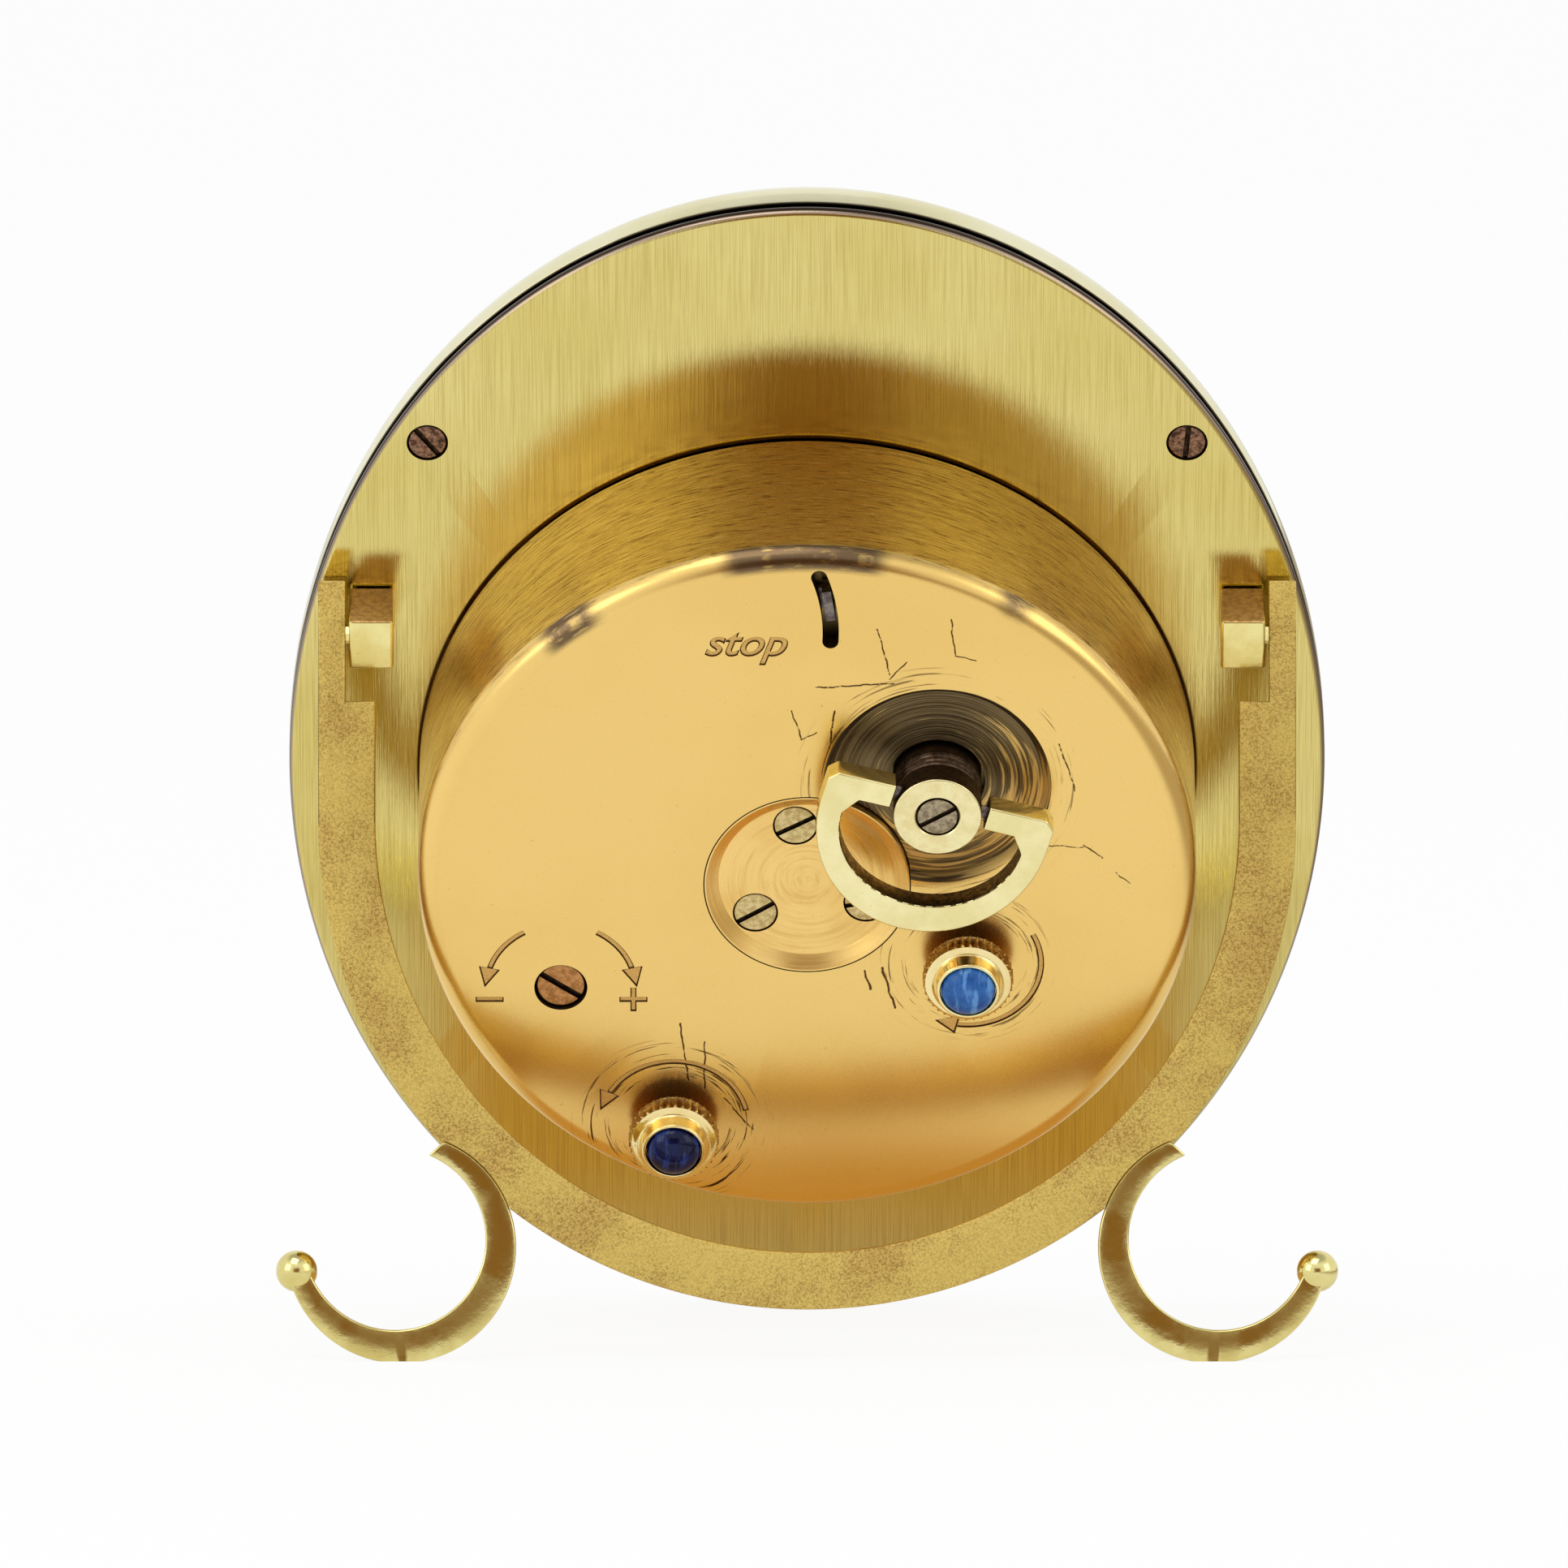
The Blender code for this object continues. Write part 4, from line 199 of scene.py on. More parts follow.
# Engraved arrows: centre, radius, and the angles in degrees that they run between
ARROWS = (
    (TIME_CROWN, 5.65 * MM, 28, -98),
    (ALARM_CROWN, 5.7 * MM, 12, 150),
    (REGULATOR, 5.75 * MM, 119, 162),
    (REGULATOR, 5.75 * MM, 61, 18),
)
CROWN_FRONT = 18.4 * MM
CROWN_SKIRT_TOP = 19.9 * MM
CROWN_TOP = 21.1 * MM
CROWN_RADIUS = 3.5 * MM
CROWN_FLANGE = 3.2 * MM
CROWN_HOLLOW = 2.95 * MM
CROWN_COLLAR_RADIUS = 2.45 * MM
CROWN_LIP = 0.16 * MM
CROWN_EDGE = 0.05 * MM
KNURLS = 36
KNURL_VALLEY = 0.875
KNURL_FLANK = 0.94
STONE_RADIUS = 2.1 * MM
STONE_HEIGHT = 1.5 * MM
STONE_FOOT = 20.65 * MM

# Hinge lugs, strut and feet
PIVOT_Y = 14.4 * MM
LUG_INNER = 31.9 * MM
LUG_WIDTH = 3.4 * MM
LUG_LENGTH = 4.3 * MM
LUG_HEIGHT = 5.3 * MM
STRUT_RADIUS = 37.7 * MM
STRUT_WIDTH = 4.4 * MM
STRUT_THICKNESS = 2.6 * MM
STRUT_HEAD = 4.1 * MM
STRUT_STEP = -5.2 * MM
ARM_INNER = 35.6 * MM
FOOT_PLACE = (31.8 * MM, -46.7 * MM)
FOOT_INNER = 7.0 * MM
FOOT_OUTER = 8.9 * MM
FOOT_OFFSET = 0.8 * MM
FOOT_OFFSET_ANGLE = math.radians(235)
FOOT_START = math.radians(112)
FOOT_END = math.radians(342)
FOOT_THICKNESS = 2.2 * MM
FOOT_BALL = 1.6 * MM
FOOT_GAP = 0.06 * MM

# Hidden steel parts that keep the part's own shape
STEEL_NODES = (
    "stop_lever",
    "bow_pin_left",
    "bow_pin_right",
    "barrel_arbor",
    "mainspring",
    "pallet_fork",
    "time_arbor",
    "alarm_arbor",
    "alarm_hammer",
)

# Studio and camera
WHITE = (1, 1, 1)
DIM_ROOM = (0.26, 0.13, 0.035)
LAMP_TARGET = (0, 0, 0.05)
CAMERA_RISE = math.radians(5.7)
CAMERA_DISTANCE = 2.5
AIM_ASIDE = 1.78 * MM
AIM_UP = 7.76 * MM
SENSOR_WIDTH = 36
VIEW_WIDTH = 1932 / 16 * MM


def polar(radius, angle, centre=(0, 0)):
    return centre[0] + radius * math.cos(angle), centre[1] + radius * math.sin(angle)


def at(frame_matrix, x=0.0, y=0.0, z=0.0):
    return frame_matrix @ Matrix.Translation((x, y, z))


def verts_of(made):
    return [v for v in made if isinstance(v, bmesh.types.BMVert)]


def edges_of(made):
    return [e for e in made if isinstance(e, bmesh.types.BMEdge)]


def all_parts(bm):
    return bm.verts[:] + bm.edges[:] + bm.faces[:]


def move(bm, offset, verts):
    bmesh.ops.translate(bm, vec=offset, verts=verts)


def soften(bm, width, steps=3, least=35):
    """Rounds every edge whose faces meet at more than the least angle."""
    bmesh.ops.remove_doubles(bm, verts=bm.verts, dist=MERGE)
    bmesh.ops.recalc_face_normals(bm, faces=bm.faces)
    sharp = [e for e in bm.edges if e.is_manifold and e.calc_face_angle(0) > math.radians(least)]
    bmesh.ops.bevel(
        bm,
        geom=sharp,
        offset=width,
        offset_type="OFFSET",
        affect="EDGES",
        segments=steps,
        profile=0.5,
        material=-1,
        clamp_overlap=True,
    )


def new_mesh(name, bm, place=Matrix.Identity(4), smooth=30):
    """The finished bmesh as a mesh in its place, smooth up to the given angle."""
    bmesh.ops.remove_doubles(bm, verts=bm.verts, dist=MERGE)
    bmesh.ops.recalc_face_normals(bm, faces=bm.faces)
    bmesh.ops.transform(bm, matrix=place, verts=bm.verts)
    mesh = bpy.data.meshes.new(name)
    bm.to_mesh(mesh)
    bm.free()
    for face in mesh.polygons:
        face.use_smooth = True
    mesh.set_sharp_from_angle(angle=math.radians(smooth))
    return mesh


def new_object(name, data):
    made = bpy.data.objects.new(name, data)
    bpy.context.scene.collection.objects.link(made)
    return made


def new_piece(name, bm, place, body, finish, nodes, smooth=30):
    """A piece that rides on its body, takes the materials of its finish and stands for its CAD nodes."""
    piece = new_object(name, new_mesh(name, bm, place, smooth))
    slot, *materials = finish
    for material in materials:
        piece.data.materials.append(material)
    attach(piece, body)
    if nodes:
        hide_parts(*nodes)
    return piece


def carve(piece, *cutters, crossing=False):
    """Cuts each cutter, given as (bmesh, place, materials), out of the piece."""
    for bm, place, *materials in cutters:
        cutter = new_object("cutter", new_mesh("cutter", bm, place))
        for material in materials:
            cutter.data.materials.append(material)
        cut = piece.modifiers.new("cut", "BOOLEAN")
        cut.operation, cut.solver, cut.material_mode = "DIFFERENCE", "EXACT", "TRANSFER"
        cut.object = cutter
        cut.use_self = crossing
        bpy.context.view_layer.update()
        shaped = bpy.data.meshes.new_from_object(piece.evaluated_get(bpy.context.evaluated_depsgraph_get()))
        piece.modifiers.clear()
        name = piece.data.name
        piece.data = shaped
        shaped.name = name
        bpy.data.objects.remove(cutter)
    piece.data.set_sharp_from_angle(angle=math.radians(30))


def reshape(piece, change):
    """Runs one more change on the mesh of a finished piece."""
    bm = bmesh.new()
    bm.from_mesh(piece.data)
    change(bm)
    bmesh.ops.recalc_face_normals(bm, faces=bm.faces)
    bm.to_mesh(piece.data)
    bm.free()
    piece.data.set_sharp_from_angle(angle=math.radians(30))


def turned(profile, steps=ROUND_STEPS, closed=False):
    """A profile of (radius, height) points spun round the Z axis."""
    bm = bmesh.new()
    points = [bm.verts.new((radius, 0, height)) for radius, height in profile]
    pairs = list(zip(points, points[1:]))
    if closed:
        pairs.append((points[-1], points[0]))
    parts = points + [bm.edges.new(pair) for pair in pairs]
    bmesh.ops.spin(bm, geom=parts, cent=ORIGIN, axis=UPWARD, angle=TAU, steps=steps, use_merge=True)
    bmesh.ops.remove_doubles(bm, verts=bm.verts, dist=MERGE)
    return bm


def drum(radius, start, end, steps=SMALL_STEPS):
    """A solid round bar from one height to another."""
    return turned([(0, start), (radius, start), (radius, end), (0, end)], steps)


def round_over(centre, radius, start, end, steps=10):
    """Profile points along an arc, its angles in degrees."""
    angles = [math.radians(start + (end - start) * i / steps) for i in range(steps + 1)]
    return [polar(radius, angle, centre) for angle in angles]


def swept(section, start, end, steps, centre=ORIGIN):
    """A closed section of (radius, height) points swept from one angle to another round a centre."""
    bm = bmesh.new()
    middle = Vector(centre)
    face = bm.faces.new([bm.verts.new(middle + Vector((*polar(r, start), z))) for r, z in section])
    parts = [face, *face.edges, *face.verts]
    bmesh.ops.spin(bm, geom=parts, cent=middle, axis=UPWARD, angle=end - start, steps=steps)
    return bm


def lofted(rings, steps=OVAL_STEPS, closed=True):
    """Oval rings, each (half width, half height, z), joined in turn into a skin."""
    bm = bmesh.new()
    width, height, level = rings[0]
    bmesh.ops.create_circle(bm, cap_ends=False, radius=1, segments=steps)
    bmesh.ops.scale(bm, vec=(width, height, 1), verts=bm.verts)
    move(bm, (0, 0, level), bm.verts)
    edges = bm.edges[:]
    for new_width, new_height, new_level in rings[1:] + (rings[:1] if closed else []):
        made = bmesh.ops.extrude_edge_only(bm, edges=edges)["geom"]
        verts, edges = verts_of(made), edges_of(made)
        bmesh.ops.scale(bm, vec=(new_width / width, new_height / height, 1), verts=verts)
        move(bm, (0, 0, new_level - level), verts)
        width, height, level = new_width, new_height, new_level
    if not closed:
        bmesh.ops.holes_fill(bm, edges=bm.edges, sides=0)
    return bm


def oval(inset, level):
    return CASE_HALF_WIDTH - inset, CASE_HALF_HEIGHT - inset, level


def box(low, high):
    bm = bmesh.new()
    bmesh.ops.create_cube(bm, size=1)
    bmesh.ops.scale(bm, vec=Vector(high) - Vector(low), verts=bm.verts)
    move(bm, (Vector(high) + Vector(low)) / 2, bm.verts)
    return bm


def thicken(bm, low, high):
    """Gives a flat sheet at z = 0 its thickness from low to high."""
    move(bm, (0, 0, low), bm.verts)
    made = bmesh.ops.extrude_face_region(bm, geom=bm.faces[:])["geom"]
    move(bm, (0, 0, high - low), verts_of(made))
    return bm


def merge(target, source, place=Matrix.Identity(4)):
    """Adds a copy of one bmesh to another."""
    spare = bpy.data.meshes.new("spare")
    bmesh.ops.transform(source, matrix=place, verts=source.verts)
    source.to_mesh(spare)
    source.free()
    target.from_mesh(spare)
    bpy.data.meshes.remove(spare)


def add(tree, kind, inputs=None, **settings):
    """A shader node. Each input is given a value, or a socket to be linked from."""
    made = tree.nodes.new(kind)
    for name, value in settings.items():
        setattr(made, name, value)
    for name, value in (inputs or {}).items():
        socket = made.inputs[name]
        if isinstance(value, bpy.types.NodeSocket):
            tree.links.new(value, socket)
        else:
            socket.default_value = value
    return made


def calc(tree, operation, *values, clamp=False):
    settings = {"operation": operation, "use_clamp": clamp}
    return add(tree, "ShaderNodeMath", dict(enumerate(values)), **settings).outputs[0]


def times(tree, first, *others):
    for other in others:
        first = calc(tree, "MULTIPLY", first, other)
    return first


def vector_calc(tree, operation, *values):
    return add(tree, "ShaderNodeVectorMath", dict(enumerate(values)), operation=operation).outputs[0]


def vector_number(tree, operation, *values):
    """A length, distance or dot product of vectors."""
    return add(tree, "ShaderNodeVectorMath", dict(enumerate(values)), operation=operation).outputs["Value"]


def scaled(tree, vector, scale):
    return add(tree, "ShaderNodeVectorMath", {0: vector, "Scale": scale}, operation="SCALE").outputs[0]


def axes_of(tree, vector):
    return add(tree, "ShaderNodeSeparateXYZ", {0: vector}).outputs


def ramp(tree, value, low, high, start=0.0, end=1.0):
    inputs = {"Value": value, "From Min": low, "From Max": high, "To Min": start, "To Max": end}
    return add(tree, "ShaderNodeMapRange", inputs, interpolation_type="SMOOTHSTEP").outputs[0]


def mixed(tree, share, first, second):
    """Two colours mixed. Either may be a socket or (red, green, blue)."""
    colours = [(*c, 1) if isinstance(c, tuple) else c for c in (first, second)]
    return add(tree, "ShaderNodeMix", {0: share, 6: colours[0], 7: colours[1]}, data_type="RGBA").outputs[2]


def noise(tree, vector, scale, detail=2.0, roughness=0.5):
    inputs = {"Vector": vector, "Scale": scale, "Detail": detail, "Roughness": roughness}
    return add(tree, "ShaderNodeTexNoise", inputs).outputs["Fac"]


def new_group(name, inputs, outputs):
    """An empty node group with its sockets, and the sockets of its two end nodes.

    The inputs are given by name with their default values, and the outputs by name with their kinds.
    """
    group = bpy.data.node_groups.new(name, "ShaderNodeTree")
    kinds = {float: "Float", type(None): "Vector"}
    for socket, value in inputs.items():
        kind = kinds.get(type(value)) or ("Vector" if len(value) == 3 else "Color")
        made = group.interface.new_socket(name=socket, in_out="INPUT", socket_type=f"NodeSocket{kind}")
        if value is not None:
            made.default_value = value
    for socket, kind in outputs.items():
        group.interface.new_socket(name=socket, in_out="OUTPUT", socket_type=f"NodeSocket{kind}")
    start, end = group.nodes.new("NodeGroupInput"), group.nodes.new("NodeGroupOutput")
    return group, start.outputs, end.inputs


def use(tree, group, **inputs):
    """Places a group in a tree. Underscores in the names of its inputs stand for spaces."""
    named = {name.replace("_", " "): value for name, value in inputs.items()}
    return add(tree, "ShaderNodeGroup", named, node_tree=group).outputs


def make_straight_grain():
    """Fine straight brushing along the Y axis."""
    inputs = {"Vector": None, "Lines": 14.0, "Run": 0.12}
    group, given, out = new_group("straight grain", inputs, {"Line": "Float"})
    across = axes_of(group, given["Vector"])
    fine, drawn = times(group, across[0], given["Lines"]), times(group, across[1], given["Run"])
    point = add(group, "ShaderNodeCombineXYZ", {0: fine, 1: drawn, 2: across[2]}).outputs[0]
    group.links.new(noise(group, point, 1.0, 3.0, 0.65), out["Line"])
    return group


def make_turned_grain():
    """Rings left by a lathe round a centre, broken up along their length."""
    inputs = {"Vector": None, "Centre": ORIGIN, "Rings": 8.0, "Breaks": 1.5, "Along Axis": 0.0}
    group, given, out = new_group("turned grain", inputs, {"Ring": "Float", "Radius": "Float"})
    axes = axes_of(group, vector_calc(group, "SUBTRACT", given["Vector"], given["Centre"]))
    flat = add(group, "ShaderNodeCombineXYZ", {0: axes[0], 1: axes[1]}).outputs[0]
    radius = vector_number(group, "LENGTH", flat)
    around = scaled(group, vector_calc(group, "NORMALIZE", flat), given["Breaks"])
    along = times(group, axes[2], given["Along Axis"])
    level = times(group, calc(group, "ADD", radius, along), given["Rings"])
    height = add(group, "ShaderNodeCombineXYZ", {2: level}).outputs[0]
    point = vector_calc(group, "ADD", around, height)
    group.links.new(noise(group, point, 1.0, 3.0, 0.6), out["Ring"])
    group.links.new(radius, out["Radius"])
    return group


def make_toning():
    """Slow colour change over a metal, with small dark specks."""
    colours = {"Bright": (0.8, 0.6, 0.2, 1.0), "Toned": (0.6, 0.4, 0.1, 1.0), "Speck": (0.2, 0.1, 0.03, 1.0)}
    inputs = {"Vector": None, "Size": 12.0, **colours, "Specks": 0.3}
    outputs = {"Color": "Color", "Patch": "Float", "Specks": "Float"}
    group, given, out = new_group("toning", inputs, outputs)
    scale = calc(group, "DIVIDE", 1.0, given["Size"])
    patch = ramp(group, noise(group, given["Vector"], scale, 4.0, 0.55), 0.35, 0.68)
    dust = noise(group, given["Vector"], 3.1, 2.0, 0.8)
    specks = times(group, ramp(group, dust, 0.7, 0.78), given["Specks"])
    base = mixed(group, patch, given["Bright"], given["Toned"])
    group.links.new(mixed(group, specks, base, given["Speck"]), out["Color"])
    group.links.new(patch, out["Patch"])
    group.links.new(specks, out["Specks"])
    return group


def make_arc_scratches(turned_grain):
    """Broken scratches that run round a centre between two radii."""
    inputs = {"Vector": None, "Centre": ORIGIN, "Inner": 5.0, "Outer": 8.0, "Rings": 4.0, "Amount": 0.5}
    group, given, out = new_group("arc scratches", inputs, {"Scratch": "Float"})
    passed = {name: given[name] for name in ("Vector", "Centre", "Rings")}
    rings = use(group, turned_grain, Breaks=1.1, **passed)
    line = ramp(group, rings["Ring"], 0.57, 0.63)
    inside = ramp(group, calc(group, "SUBTRACT", rings["Radius"], given["Inner"]), 0.0, 0.5)
    outside = ramp(group, calc(group, "SUBTRACT", given["Outer"], rings["Radius"]), 0.0, 1.4)
    held = times(group, line, times(group, inside, outside))
    group.links.new(calc(group, "MULTIPLY", held, given["Amount"], clamp=True), out["Scratch"])
    return group


def make_crooked():
    """Flat coordinates shaken a little, and the breaks along scratches drawn on them."""
    group, given, out = new_group("crooked", {"Vector": None}, {"Vector": "Vector", "Breaks": "Float"})
    point = given["Vector"]
    wander = add(group, "ShaderNodeTexNoise", {"Vector": point, "Scale": 0.9, "Detail": 2.0}).outputs["Color"]
    shaken = scaled(group, vector_calc(group, "SUBTRACT", wander, (0.5, 0.5, 0.5)), 0.4)
    flat = vector_calc(group, "MULTIPLY", vector_calc(group, "ADD", point, shaken), (1, 1, 0))
    group.links.new(flat, out["Vector"])
    group.links.new(ramp(group, noise(group, point, 1.7, 2.0, 0.8), 0.36, 0.46, 0.35, 1.0), out["Breaks"])
    return group


def make_line_scratch():
    """One scratch from one place to another."""
    inputs = {"Vector": None, "From": ORIGIN, "To": (1.0, 0.0, 0.0), "Width": 0.1}
    group, given, out = new_group("line scratch", inputs, {"Scratch": "Float"})
    offset = vector_calc(group, "SUBTRACT", given["Vector"], given["From"])
    run = vector_calc(group, "SUBTRACT", given["To"], given["From"])
    along = vector_number(group, "DOT_PRODUCT", offset, run)
    whole = vector_number(group, "DOT_PRODUCT", run, run)
    foot = scaled(group, run, calc(group, "DIVIDE", along, whole, clamp=True))
    gap = vector_number(group, "LENGTH", vector_calc(group, "SUBTRACT", offset, foot))
    group.links.new(ramp(group, calc(group, "DIVIDE", gap, given["Width"]), 1.0, 0.35), out["Scratch"])
    return group


STRAIGHT_GRAIN = make_straight_grain()
TURNED_GRAIN = make_turned_grain()
TONING = make_toning()
ARC_SCRATCHES = make_arc_scratches(TURNED_GRAIN)
CROOKED = make_crooked()
LINE_SCRATCH = make_line_scratch()

# Scratches on the can's back, in millimetres from its middle: from, to, width
CAN_SCRATCHES = (
    ((0.7, 17.9), (6.6, 18.3), 0.10),
    ((5.4, 23.2), (6.3, 19.1), 0.09),
    ((7.6, 20.2), (6.3, 18.7), 0.08),
    ((11.0, 24.1), (11.4, 20.8), 0.08),
    ((11.4, 20.8), (12.9, 20.4), 0.08),
    ((-1.2, 15.8), (-0.4, 13.2), 0.08),
    ((-0.4, 13.2), (0.7, 13.9), 0.07),
    ((2.1, 15.8), (1.7, 12.4), 0.12),
    ((18.2, 3.6), (21.3, 3.4), 0.07),
    ((21.3, 3.6), (22.7, 2.4), 0.08),
    ((23.8, 1.1), (24.9, 0.1), 0.07),
    ((19.4, 12.8), (20.6, 8.6), 0.10),
    ((4.4, -7.9), (4.9, -9.6), 0.12),
    ((5.8, -7.6), (6.8, -11.3), 0.13),
    ((-9.8, -12.7), (-9.2, -17.9), 0.10),
    ((-7.9, -14.4), (-7.9, -18.7), 0.10),
    ((-6.4, -19.6), (-4.2, -22.4), 0.09),
)
# Scratches that run round the key and the crowns: centre, inner and outer radius, rings, amount
CAN_ARCS = (
    ((10.0, 9.0, 17.0), 8.4, 11.5, 3.2, 0.7),
    ((12.4, -7.2, 17.0), 4.2, 7.6, 4.2, 0.75),
    ((-10.3, -21.9, 17.0), 4.0, 8.2, 4.0, 1.0),
)
# Places where the gilding is rubbed off the edge of the can's back: centre and reach
EDGE_WEAR = (((-0.3, 31.5), 7.6), ((-18.2, 23.0), 3.3), ((16.2, 25.4), 2.2))
WEAR_FADE = 2.0


def new_material(name, roughness, place=CASE, metallic=1.0, **sockets):
    """A material with its tree, its shader, and its point in one frame of the clock, in millimetres."""
    material = bpy.data.materials.new(name)
    material.use_nodes = True
    tree = material.node_tree
    shader = tree.nodes["Principled BSDF"]
    shader.inputs["Roughness"].default_value = roughness
    shader.inputs["Metallic"].default_value = metallic
    for socket, value in sockets.items():
        shader.inputs[socket.replace("_", " ")].default_value = value
    back = place.inverted()
    points = add(tree, "ShaderNodeTexCoord").outputs["Object"]
    mapping = add(tree, "ShaderNodeMapping", {"Vector": points}, vector_type="POINT")
    mapping.inputs["Location"].default_value = back.to_translation() / MM
    mapping.inputs["Rotation"].default_value = back.to_euler("XYZ")
    mapping.inputs["Scale"].default_value = (1 / MM, 1 / MM, 1 / MM)
    return material, tree, shader, mapping.outputs[0]


def dress(tree, shader, colour, roughness, height=None, depth=0.0, strength=1.0):
    """Links the surface's colour, its roughness and the height of its relief, which is depth mm deep."""
    tree.links.new(colour, shader.inputs["Base Color"])
    tree.links.new(roughness, shader.inputs["Roughness"])
    if height is not None:
        inputs = {"Height": height, "Distance": depth * MM, "Strength": strength}
        tree.links.new(add(tree, "ShaderNodeBump", inputs).outputs[0], shader.inputs["Normal"])


def toning(tree, point, size, bright, toned, speck, specks):
    """The shared toning with its own colours."""
    colours = {"Bright": (*bright, 1), "Toned": (*toned, 1), "Speck": (*speck, 1)}
    return use(tree, TONING, Vector=point, Size=size, Specks=specks, **colours)


def brushed_plate():
    """Pale brass brushed up and down, with a few dark flecks, a painted dark reflection on its rounded edge
    and painted shade in the seam round the can.
    """
    material, tree, shader, point = new_material("brushed plate brass", 0.16, Anisotropic=0.8)
    tone = toning(tree, point, 16.0, (0.77, 0.66, 0.245), (0.72, 0.60, 0.195), (0.30, 0.20, 0.06), 0.5)
    line = use(tree, STRAIGHT_GRAIN, Vector=point, Lines=11.0, Run=0.10)["Line"]
    lines = times(tree, ramp(tree, line, 0.42, 0.64), 0.42)
    colour = mixed(tree, lines, tone["Color"], (0.42, 0.30, 0.07))
    level = axes_of(tree, point)[2]
    # Painted dark reflection on the plate's rounded edge: greyish near the back face, near black down its
    # side
    colour = mixed(tree, ramp(tree, level, -0.05, -0.16), colour, (0.36, 0.27, 0.20))
    colour = mixed(tree, ramp(tree, level, -0.22, -0.36), colour, (0.06, 0.04, 0.025))
    radius = use(tree, TURNED_GRAIN, Vector=point)["Radius"]
    # Painted shade in the gap under the can's rim, over the bore's edge
    seam_shade = times(tree, ramp(tree, radius, 30.3, 30.12), ramp(tree, radius, 29.0, 29.5))
    colour = mixed(tree, seam_shade, colour, (0.05, 0.025, 0.01))
    spaces = {"vector_type": "VECTOR", "convert_from": "OBJECT", "convert_to": "WORLD"}
    sideways = add(tree, "ShaderNodeVectorTransform", {0: (1, 0, 0)}, **spaces).outputs[0]
    tree.links.new(sideways, shader.inputs["Tangent"])
    dress(tree, shader, colour, ramp(tree, line, 0.2, 0.8, 0.05, 0.14), line, 0.012, 0.8)
    return material


def polished_band():
    """Polished pale brass with faint rings and small dull patches, and painted shade along its back edge by
    the plate.
    """
    material, tree, shader, point = new_material("polished band brass", 0.14)
    tone = toning(tree, point, 9.0, (0.84, 0.80, 0.54), (0.78, 0.73, 0.44), (0.35, 0.26, 0.10), 0.4)
    # Painted shade: the back edge, by the plate, turns near black
    lip = ramp(tree, axes_of(tree, point)[2], -1.66, -1.54)
    colour = mixed(tree, lip, tone["Color"], (0.05, 0.035, 0.02))
    rough = ramp(tree, tone["Patch"], 0.0, 1.0, 0.1, 0.2)
    dress(tree, shader, colour, rough, noise(tree, point, 0.6, 3.0), 0.02, 0.5)
    return material


def side_marks(tree, rings, dashes, side, level, colour):
    """The can's side: turned rings, short dark dashes, bright flecks and painted shade along the seam at the
    plate.
    """
    worn = times(tree, ramp(tree, rings["Ring"], 0.42, 0.66), side)
    colour = mixed(tree, times(tree, worn, 0.6), colour, (0.36, 0.18, 0.035))
    dark = times(tree, ramp(tree, dashes, 0.55, 0.66, 0.0, 0.8), side)
    colour = mixed(tree, dark, colour, (0.20, 0.10, 0.02))
    fleck = times(tree, ramp(tree, dashes, 0.46, 0.36, 0.0, 0.75), side)
    colour = mixed(tree, fleck, colour, (1.0, 0.74, 0.28))
    # Painted shade along the foot of the side, at the seam with the plate
    return worn, mixed(tree, ramp(tree, level, 0.36, 0.16), colour, (0.05, 0.025, 0.01))


def edge_wear(tree, crooked, rings, dashes, level):
    """One where the gilding is rubbed off the rounded edge."""
    edge = times(tree, ramp(tree, rings["Radius"], 28.2, 28.9), ramp(tree, level, 15.2, 15.7))
    rubbed = 0.0
    for centre, reach in EDGE_WEAR:
        away = vector_number(tree, "DISTANCE", crooked["Vector"], (*centre, 0))
        rubbed = calc(tree, "MAXIMUM", rubbed, ramp(tree, away, reach, reach - WEAR_FADE))
    return times(tree, rubbed, edge, ramp(tree, dashes, 0.34, 0.5, 0.6, 0.96))


def back_scratches(tree, point, crooked, face):
    """One where a scratch crosses the can's back."""
    marks = 0.0
    for first, last, width in CAN_SCRATCHES:
        line = use(tree, LINE_SCRATCH, Vector=crooked["Vector"], From=(*first, 0), To=(*last, 0), Width=width)
        marks = calc(tree, "MAXIMUM", marks, line["Scratch"])
    marks = times(tree, marks, crooked["Breaks"])
    for centre, inner, outer, rings, amount in CAN_ARCS:
        sizes = {"Centre": centre, "Inner": inner, "Outer": outer, "Rings": rings, "Amount": amount}
        marks = calc(tree, "MAXIMUM", marks, use(tree, ARC_SCRATCHES, Vector=point, **sizes)["Scratch"])
    return times(tree, marks, face)


